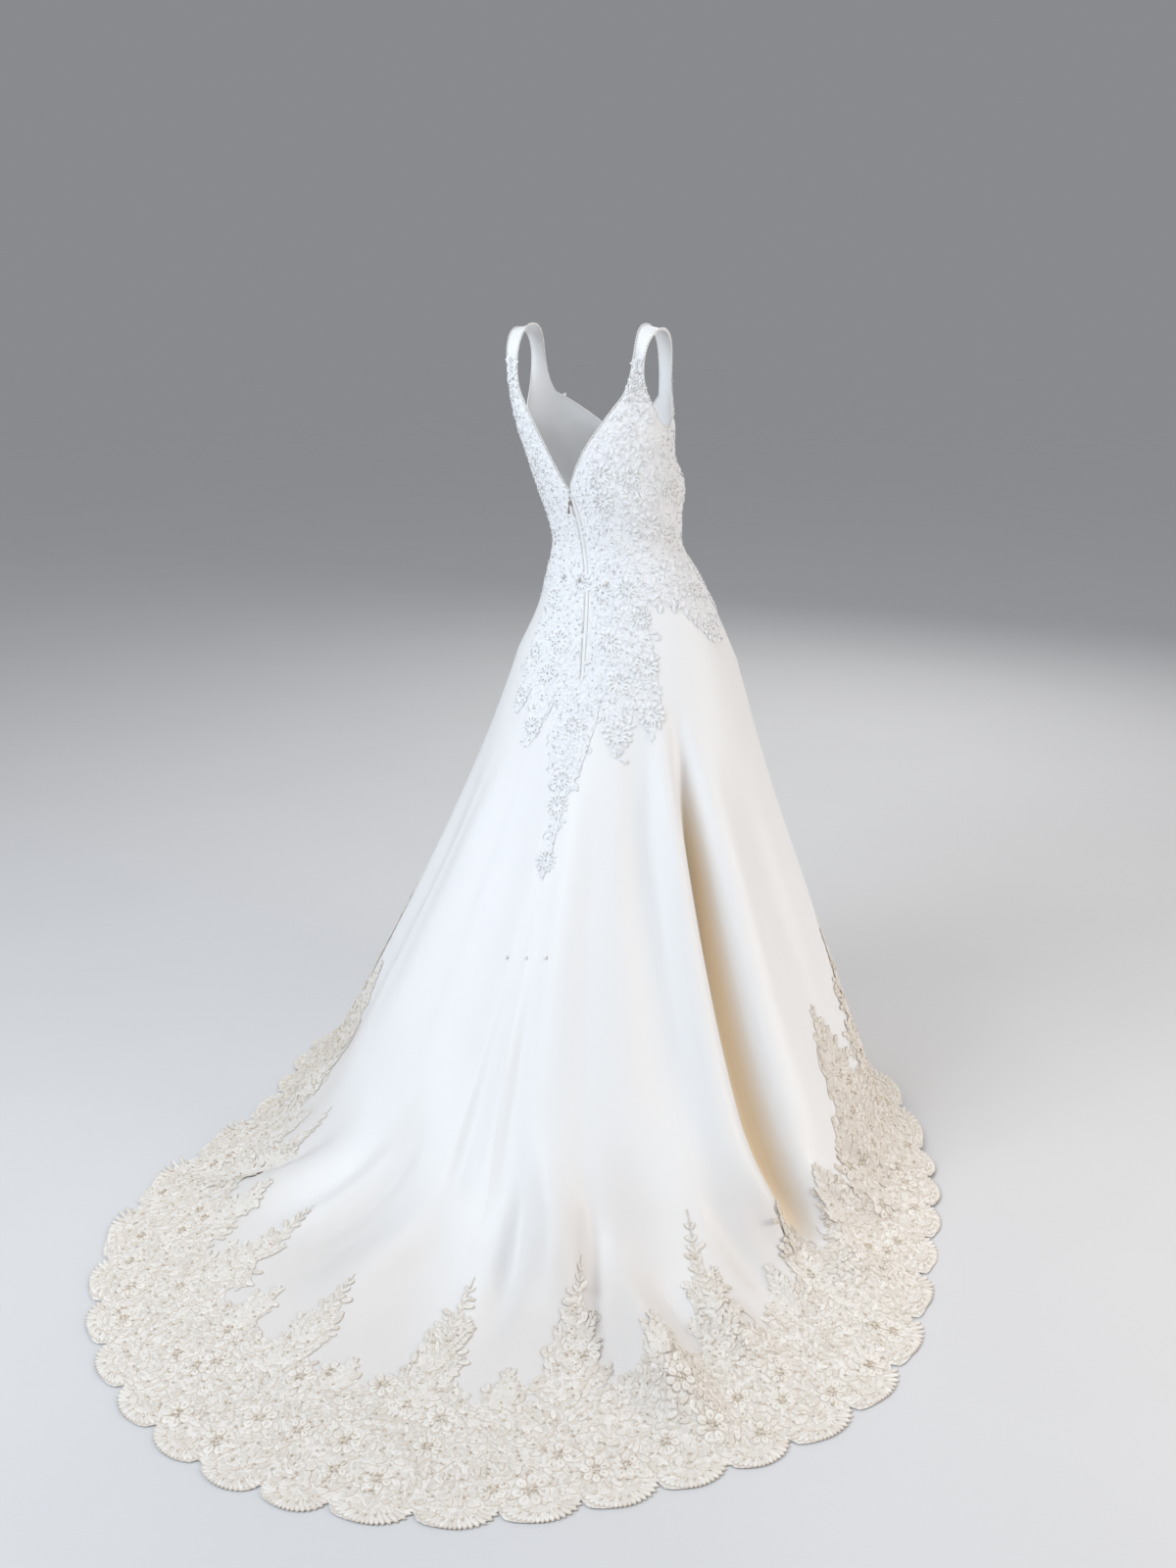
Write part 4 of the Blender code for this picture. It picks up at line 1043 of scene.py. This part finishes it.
# Metres between motifs: medallions and the least between two, leaves, scrolls and seed beads
MEDALLION_STEP, MEDALLION_GAP, LEAF_STEP, SCROLL_STEP, SEED_STEP = 0.088, 0.056, 0.0135, 0.021, 0.0165
SEED = (0.0038, 0.0026, 0.0022)  # length, width and height of a seed bead
pairs = [(side * at, tip - up) for at, tip, _ in PENDANTS for side in (-1.0, 1.0)
         for up in (0.034, 0.10) if 0 < at < 180 or side > 0]
angle, depth = 180.0 + np.array([a for a, _ in pairs]), np.array([d for _, d in pairs])
more_angle, more_depth = scattered(draw, MEDALLION_STEP, STRAP_ROOT, 0.72)
kept = (bodice_inside(more_angle, more_depth) > 0.03)
kept &= apart_from(more_angle, more_depth, (angle, depth), MEDALLION_GAP)
angle, depth = np.append(angle, more_angle[kept]), np.append(depth, more_depth[kept])
kept = well_inside(angle, depth, 0.022)
medallions = angle[kept], depth[kept]
many = len(medallions[0])
medallion(bodice, *medallions, draw.uniform(0.018, 0.025, many), 12, 0.85, 0.05)

angle, depth = scattered(draw, LEAF_STEP, STRAP_ROOT, BACK_LACE_END)
kept = on_bodice(angle, depth) & (bodice_inside(angle, depth) > 0.004)
kept &= apart_from(angle, depth, medallions, 0.019)
angle, depth = angle[kept], depth[kept]
swirl = 2.4 * np.sin(angle / 9.0 + 3.0 * np.sin(depth * 31.0)) + 2.0 * np.cos(depth * 47.0)
size = draw.uniform(0.010, 0.0165, len(angle))
bodice.lay(LEAF, angle, depth, swirl + draw.normal(0, 0.5, len(angle)), size, 0.50 * size, 0.0016,
           NET_LIFT, draw.uniform(0.5, 1.0, len(angle)))

angle, depth = scattered(draw, SCROLL_STEP, STRAP_ROOT, BACK_LACE_END)
kept = well_inside(angle, depth, 0.024) & (bodice_inside(angle, depth) > 0.016)
angle, depth = angle[kept], depth[kept]
many = len(angle)
bodice.cords(angle, depth, draw.uniform(0, 6.3, many), draw.choice([-5.0, -3.5, 3.5, 5.0], many),
             draw.uniform(0.024, 0.042, many), 0.0021, draw.uniform(0.6, 1.0, many))

angle, depth = scattered(draw, SEED_STEP, STRAP_ROOT, BACK_LACE_END)
kept = on_bodice(angle, depth) & (bodice_inside(angle, depth) > 0.006)
angle, depth = angle[kept], depth[kept]
bodice.lay(DROP, angle, depth, draw.uniform(0, 6.3, len(angle)), *SEED, NET_LIFT + 0.0012,
           draw.uniform(0.0, 0.6, len(angle)), BEAD)

# Straps: the same leaves and seed beads, thinning out towards the shoulder
STRAP_LEAVES, STRAP_BEADS, STRAP_REACH = 150, 44, 0.052
for number, panel in enumerate(PANELS):
    if not panel.strap_towards:
        continue
    s = draw.uniform(0.12, 0.88, STRAP_LEAVES)
    depth = STRAP_ROOT + 0.004 - STRAP_REACH * draw.uniform(0, 1, STRAP_LEAVES) ** 1.5
    here, normal = panel.at_places(s, depth)
    up = unit(panel.surface(s[None], depth[None] - 0.004)[0] - here)
    across = np.cross(up, normal)
    leaves = draw.uniform(0.009, 0.012, STRAP_LEAVES)
    bodice.put(LEAF, here, across, up, normal, number, draw.normal(0, 0.7, STRAP_LEAVES), leaves,
               0.5 * leaves, 0.0015, NET_LIFT, draw.uniform(0.5, 1.0, STRAP_LEAVES), THREAD)
    few = (v[:STRAP_BEADS] for v in (here, across, up, normal))
    bodice.put(DROP, *few, number, 0.0, 0.0036, *SEED[1:], NET_LIFT + 0.0012, 0.6, BEAD)

# Hem: fans of the scalloped edge and flowers with tan beads, then sprays, leaves, scrolls, beads
FAN_BEAD, HEART_BEAD = (0.0042, 0.0032, 0.0028), (0.0044, 0.0036, 0.0030)
HEM_SEED = (0.0040, 0.0030, 0.0024)
FLOWER_STEP, HEM_LEAF_STEP, HEM_SCROLL_STEP, HEM_SEED_STEP = 0.092, 0.0125, 0.034, 0.021
hem = Embroidery()


def fans(work, leaves, start, share, width, tint, beads):
    """Rays out of the middle of every scallop, each as long as the scallop is deep there."""
    for panel in PANELS:
        many = scallops(panel)
        angle = panel.on_cloth((np.arange(many) + 0.5) / many, np.full(many, HEM))[0]
        ends = panel.on_cloth(np.array([0.0, 1.0]), np.full(2, HEM))[0]
        pitch = abs(turn_between(ends[1], ends[0])) / many
        _, _, _, _, degree, _ = frames(angle, np.full(many, HEM))
        at, half = np.repeat(angle, leaves), np.repeat(0.5 * pitch * degree, leaves)
        ray = np.tile(np.radians(np.linspace(-84, 84, leaves)), many)
        reach = 1.0 / np.hypot(np.sin(ray) / half, np.cos(ray) / (BORDER_EDGE + BORDER_REACH))
        place = moved(at, np.full(len(at), HEM), start * reach * np.sin(ray), -start * reach * np.cos(ray))
        work.lay(LEAF, *place, np.pi - ray, share * reach, width, 0.0019, NET_LIFT,
                 tint * draw.uniform(0.6, 1.0, len(at)))
        if beads:
            work.lay(DROP, *place, np.pi - ray, *FAN_BEAD, NET_LIFT + 0.0012,
                     draw.uniform(0.2, 0.8, len(at)), BEAD)


fans(hem, 17, 0.50, 0.54, 0.0078, 1.0, False)
fans(hem, 11, 0.22, 0.34, 0.0078, 0.9, False)
fans(hem, 7, 0.62, 0.20, 0.0042, 0.6, True)

angle, depth = scattered(draw, FLOWER_STEP, 1.12, HEM - 0.012)
kept = hem_inside(angle, depth) > 0.015
flowers = angle[kept], depth[kept]
many = len(flowers[0])
medallion(hem, *flowers, draw.uniform(0.018, 0.026, many), 7, 0.8, 0.7)
for k in range(4):
    heading = np.pi * 0.5 * k + draw.uniform(0, 1, many)
    at = moved(*flowers, 0.0035 * np.sin(heading), 0.0035 * np.cos(heading))
    hem.lay(DROP, *at, heading, *HEART_BEAD, NET_LIFT + 0.0013, draw.uniform(0, 0.25, many), BEAD)

# Stems of the sprays: the middle one, and two that leave it on each side, with leaves in pairs.
# Share of the way up where a stem starts, lean and share of the spray's length
BRANCHES = ((0.0, 0.0, 1.0), (0.28, 0.62, 0.34), (0.36, -0.62, 0.34), (0.6, 0.8, 0.34), (0.66, -0.8, 0.34))
PAIRS = 14
stems = []
for at, tip in SPRAYS:
    foot = above_hem(at, BAND_HEIGHT)
    for start, lean, share in BRANCHES:
        up_by = 1.0 - start - share if start else 0.0
        stems.append((at, foot + 0.01 - (foot - tip) * up_by, lean, share * (foot - tip), start))
stems = np.array(stems)
_, _, _, _, _, deep = frames(stems[:, 0], stems[:, 1])
step = np.tile(np.linspace(0.0, 1.0, PAIRS), len(stems))
columns = stems[:, 0], stems[:, 1], stems[:, 2], stems[:, 3] * deep
at, foot, lean, rise = (np.repeat(column, PAIRS) for column in columns)
way = lean * (1.0 - 0.35 * step)
spine = moved(at, foot, step * rise * np.sin(way), step * rise * np.cos(way))
hem.cords(stems[:, 0], stems[:, 1], stems[:, 2], -0.5 * stems[:, 2], stems[:, 3] * deep, 0.0034,
          np.full(len(stems), 0.9))
length = (0.022 - 0.008 * step) * np.repeat(np.where(stems[:, 4] > 0, 0.8, 1.0), PAIRS)
for side in (-1.0, 1.0):
    jitter = draw.normal(0, 0.12, len(at))
    hem.lay(LEAF, *spine, way + side * (0.85 - 0.35 * step) + jitter, length, 0.46 * length, 0.0018,
            NET_LIFT, draw.uniform(0.6, 1.0, len(at)))

angle, depth = scattered(draw, HEM_LEAF_STEP, HEM_LACE_TOP, HEM, 150000)
inside = hem_inside(angle, depth)
kept = (inside > 0.012) & apart_from(angle, depth, flowers, 0.016)
angle, depth, inside = angle[kept], depth[kept], inside[kept]
nearest = np.abs(turn_between(angle[:, None], SPRAYS[None, :, 0])).argmin(axis=1)
lean = turn_between(angle, SPRAYS[nearest, 0])
outer = np.clip(1.0 - inside / 0.12, 0.0, 1.0)
swirl = 2.6 * np.sin(angle / 4.0 + 2.0 * np.sin(depth * 40.0)) + 2.2 * np.cos(depth * 63.0)
toward = np.sign(lean) * 0.85 + draw.normal(0, 0.35, len(angle))
heading = outer * toward + (1.0 - outer) * (swirl + draw.normal(0, 0.6, len(angle)))
size = draw.uniform(0.013, 0.021, len(angle))
hem.lay(LEAF, angle, depth, heading, size, 0.50 * size, 0.0018, NET_LIFT, draw.uniform(0.5, 1, len(angle)))

angle, depth = scattered(draw, HEM_SCROLL_STEP, 1.14, HEM - 0.01)
kept = hem_inside(angle, depth) > 0.03
angle, depth = angle[kept], depth[kept]
many = len(angle)
hem.cords(angle, depth, draw.uniform(0, 6.3, many), draw.choice([-4.5, -3.0, 3.0, 4.5], many),
          draw.uniform(0.035, 0.06, many), 0.0028, draw.uniform(0.7, 1.0, many))

angle, depth = scattered(draw, HEM_SEED_STEP, 1.14, HEM - 0.006)
kept = hem_inside(angle, depth) > 0.012
angle, depth = angle[kept], depth[kept]
hem.lay(DROP, angle, depth, draw.uniform(0, 6.3, len(angle)), *HEM_SEED, NET_LIFT + 0.0014,
        draw.uniform(0.0, 0.7, len(angle)) ** 2, BEAD)


def bead_finish(name, dull, bright):
    """A glossy bead: dull to bright by tint, with a clear coat."""
    made = Finish(name)
    made.set(Base_Color=made.mix(made.attribute("tint") + 0.3 * made.noise(300.0, 1.0), dull, bright),
             Roughness=0.22 + 0.2 * made.noise(150.0, 1.0), Metallic=0.2)
    made.shader.inputs["Coat Weight"].default_value = 0.4
    return made


bodice_thread = thread_finish("bodice thread", (0.91, 0.92, 0.94), (0.86, 0.88, 0.91),
                              (0.99, 0.99, 0.99), 180.0, 0.0005)
hem_thread = thread_finish("hem thread", (0.74, 0.67, 0.59), (0.58, 0.485, 0.38),
                           (0.975, 0.955, 0.925), 170.0, 0.0005)
silver = bead_finish("crystal", (0.60, 0.59, 0.58), (0.94, 0.93, 0.92))
tan = bead_finish("topaz", (0.64, 0.52, 0.38), (0.93, 0.87, 0.77))
bodice_finishes = bodice_thread.material, silver.material
hem_finishes = hem_thread.material, tan.material
motifs = {}
for k, panel in enumerate(PANELS):
    name = panel.name
    motifs[name] = bodice.finish(k, name + "_embroidery", "corded_lace", bodice_finishes)
    motifs["hem_" + name] = hem.finish(k, name + "_hem_embroidery", "corded_lace", hem_finishes)

# ---------------------------------------------------------------------------------------------
# Piping: satin folded over a cord and set in every neck and armhole edge, with small pearls sewn
# along it. One run round the neck and the V of the back, and one round each armhole.

PIPING_RADIUS, PIPING_STEP, PEARL, PEARL_STEP = 0.0014, 0.003, 0.0030, 0.0052
SUNK = 0.0006  # how far the cord's middle lies below the satin's outer face


def edge_run(name, s, depth):
    """Points along a panel's edge, moved off it by the cord's radius, with the normals. A run
    goes so that the panel lies on its left, seen from outside."""
    s, depth = np.broadcast_arrays(np.asarray(s, float), np.asarray(depth, float))
    points, normal = BY_NAME[name].at_places(s, depth)
    run = unit(np.gradient(points, axis=0))
    return points - PIPING_RADIUS * np.cross(normal, run) - SUNK * normal, normal


def joined_runs(runs, step, closed=False):
    """Runs end to end, with points at even steps along them."""
    points, normals = (np.concatenate([run[k] for run in runs]) for k in (0, 1))
    if closed:
        points, normals = np.vstack([points, points[:1]]), np.vstack([normals, normals[:1]])
    along = np.append(0.0, np.cumsum(np.linalg.norm(np.diff(points, axis=0), axis=1)))
    at = np.linspace(0, along[-1], round(along[-1] / step) + 1)
    points = np.stack([np.interp(at, along, points[:, k]) for k in range(3)], -1)
    return points, unit(np.stack([np.interp(at, along, normals[:, k]) for k in range(3)], -1))


def tube(points, normals, radius, sides=8):
    """Rings round a path: radius times cos and sin along the normal and the side."""
    run = unit(np.gradient(points, axis=0))
    side = unit(np.cross(run, normals))
    turns = np.linspace(0, 2 * np.pi, sides, endpoint=False)[None, :, None]
    outwards = np.cross(side, run)[:, None]
    rings = points[:, None] + radius * (np.cos(turns) * outwards + np.sin(turns) * side[:, None])
    k, j = np.meshgrid(np.arange(len(points) - 1), np.arange(sides), indexing="ij")
    after = (j + 1) % sides
    faces = np.stack([k * sides + j, k * sides + after, (k + 1) * sides + after, (k + 1) * sides + j], -1)
    return rings.reshape(-1, 3), faces.reshape(-1, 4)


piping_satin = Finish("piping satin")
cloudy = piping_satin.noise(90.0, 2.0)
piping_satin.set(Base_Color=piping_satin.mix(cloudy, (0.86, 0.86, 0.86), (0.93, 0.925, 0.915)),
                 Roughness=0.45, Normal=piping_satin.bump(piping_satin.noise(500.0, 2.0), 0.5, 0.0006))
pearl = Finish("pearl")
pearl.set(Base_Color=pearl.mix(pearl.noise(200.0, 2.0), (0.82, 0.79, 0.75), (0.96, 0.95, 0.93)),
          Roughness=0.22, Normal=pearl.bump(pearl.noise(900.0, 1.0), 0.1, 0.0003))
pearl.shader.inputs["Coat Weight"].default_value = 0.5

down_v, down_strap = np.linspace(0.0, BACK_V - 0.004, 90), np.linspace(0.004, STRAP_ROOT, 40)
over = np.linspace(0.0, 1.0, 80)
down_back_edge = np.linspace(STRAP_ROOT, ARMHOLE_BACK, 12)
down_front_edge = np.linspace(0.004, UNDERARM, 70)
NECK = joined_runs([
    edge_run("back_left", 1.0, down_v[::-1]),
    edge_run("front_side_left", 0.0, down_strap),
    edge_run("front_centre", over[::-1], STRAP_ROOT),
    edge_run("front_side_right", 1.0, down_strap[::-1]),
    edge_run("back_right", 0.0, down_v),
], PIPING_STEP)
ARMHOLES = {
    "left": [edge_run("back_left", 0.0, down_strap),
             edge_run("back_left", 0.0, down_back_edge[1:]),
             edge_run("back_side_left", over[::-1], UNDERARM),
             edge_run("front_side_left", 1.0, down_front_edge[::-1])],
    "right": [edge_run("front_side_right", 0.0, down_front_edge),
              edge_run("back_side_right", over[::-1], UNDERARM),
              edge_run("back_right", 1.0, down_back_edge[:0:-1]),
              edge_run("back_right", 1.0, down_strap[::-1])],
}
PIPED = {"neck_piping": NECK}
for side, runs in ARMHOLES.items():
    PIPED["armhole_piping_" + side] = joined_runs(runs, PIPING_STEP, closed=True)
for name, (path, normals) in PIPED.items():
    piece(name + "_cord", *tube(path, normals, PIPING_RADIUS), piping_satin.material, "piping",
          None, [name])
    beads, lifts = joined_runs([(path, normals)], PEARL_STEP)
    run = unit(np.gradient(beads, axis=0))
    pearls = Embroidery()
    pearls.put(DROP, beads - 0.5 * PEARL * run + SUNK * lifts, np.cross(run, lifts), run, lifts, 0, 0.0,
               PEARL, PEARL, PEARL, 0.0, 1.0, THREAD)
    piece(name + "_pearls", pearls.points[0], pearls.faces[0], pearl.material, "piping")

# ---------------------------------------------------------------------------------------------
# Centre back: the zip's woven tape inside, its coil in the groove, darkened as painted shadow
# of the groove, and the lap of satin folded over it from the right. Slider, pull, hook, eye and
# buttons keep their own shapes.

TAPE_WIDTH, TAPE_WALL = 0.024, 0.0006
ZIP_TOP, ZIP_END, LAP_END = BACK_V + 0.004, HIP, HIP + 0.012  # depths


def down_back(x, lift, first, last, rows=90):
    """A strip down the centre back: lift above the satin at distances x right of the centre."""
    depth = np.linspace(first, last, rows)
    degree = np.linalg.norm(dress(180.5, depth) - dress(179.5, depth), axis=-1)
    angle, depth = 180.0 + np.asarray(x)[:, None] / degree, np.broadcast_to(depth, (len(x), rows))
    return dress(angle, depth) + np.asarray(lift)[:, None, None] * outward(dress, angle, depth)


tape = Finish("zip tape")
rib = tape.wave(380.0)
tape.set(Base_Color=tape.mix(rib, (0.72, 0.72, 0.72), (0.85, 0.85, 0.84)), Roughness=0.8,
         Normal=tape.bump(rib, 0.6, 0.0004))
# The coil is real, but its dark colour is painted shadow of the groove between the lap and the lace.
coil_and_groove_shadow = Finish("zip coil")
teeth = coil_and_groove_shadow.wave(260.0)
coil_and_groove_shadow.set(Base_Color=coil_and_groove_shadow.mix(teeth, (0.16, 0.14, 0.12), (0.36, 0.33, 0.30)), Roughness=0.5,
         Normal=coil_and_groove_shadow.bump(teeth, 0.8, 0.0006))

# Sections across the three strips: distances right of the centre back, and heights on the satin
TAPE_SECTION = [-TAPE_WIDTH / 2, -0.004, 0.004, TAPE_WIDTH / 2], [-0.0024] * 4
COIL_SECTION = [-0.0013, -0.0007, -0.0001], [0.0003, 0.0010, 0.0003]
LAP_SECTION = ([0.0, 0.0004, 0.0012, 0.0034, 0.0056, 0.0068, 0.0072],
               [0.0002, 0.0018, 0.0026, 0.0023, 0.0018, 0.0010, 0.0001])
zip_tape = grid_piece("zip_tape_woven", down_back(*TAPE_SECTION, ZIP_TOP, ZIP_END), tape.material,
                      "zip_tape", None, ["zip_tape"], TAPE_WALL)
grid_piece("zip_coil", down_back(*COIL_SECTION, ZIP_TOP, LAP_END), coil_and_groove_shadow.material, "zip_tape")
lap = grid_piece("placket_lap_satin", down_back(*LAP_SECTION, ZIP_TOP, LAP_END), satin.material,
                 "satin", None, ["placket_lap"])

metal = Finish("nickel")
worn = metal.noise(350.0, 3.0)
metal.set(Base_Color=metal.mix(worn, (0.42, 0.36, 0.30), (0.62, 0.57, 0.50)), Metallic=1.0,
          Roughness=worn * 0.2 + 0.25, Normal=metal.bump(worn, 0.2, 0.0003))
covered = Finish("covered button")
weave = covered.noise(700.0, 2.0)
covered.set(Base_Color=covered.mix(weave, (0.84, 0.84, 0.84), (0.94, 0.935, 0.925)), Roughness=0.38,
            Normal=covered.bump(weave, 0.4, 0.0004))
covered.shader.inputs["Coat Weight"].default_value = 0.25
for name in ("zip_slider", "zip_pull", "hook", "eye"):
    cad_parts[name].material_slots[0].material = metal.material
for name in HIP_BUTTONS + [name.replace("hip", "train") for name in HIP_BUTTONS]:
    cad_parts[name].material_slots[0].material = covered.material

for panel in PANELS:
    name = panel.name
    panel.sheet(net_pieces[name], 1, "laid", [satin_pieces[name]], [motifs[name]])
    panel.sheet(net_pieces["hem_" + name], 2, "laid", [satin_pieces[name]], [motifs["hem_" + name]])
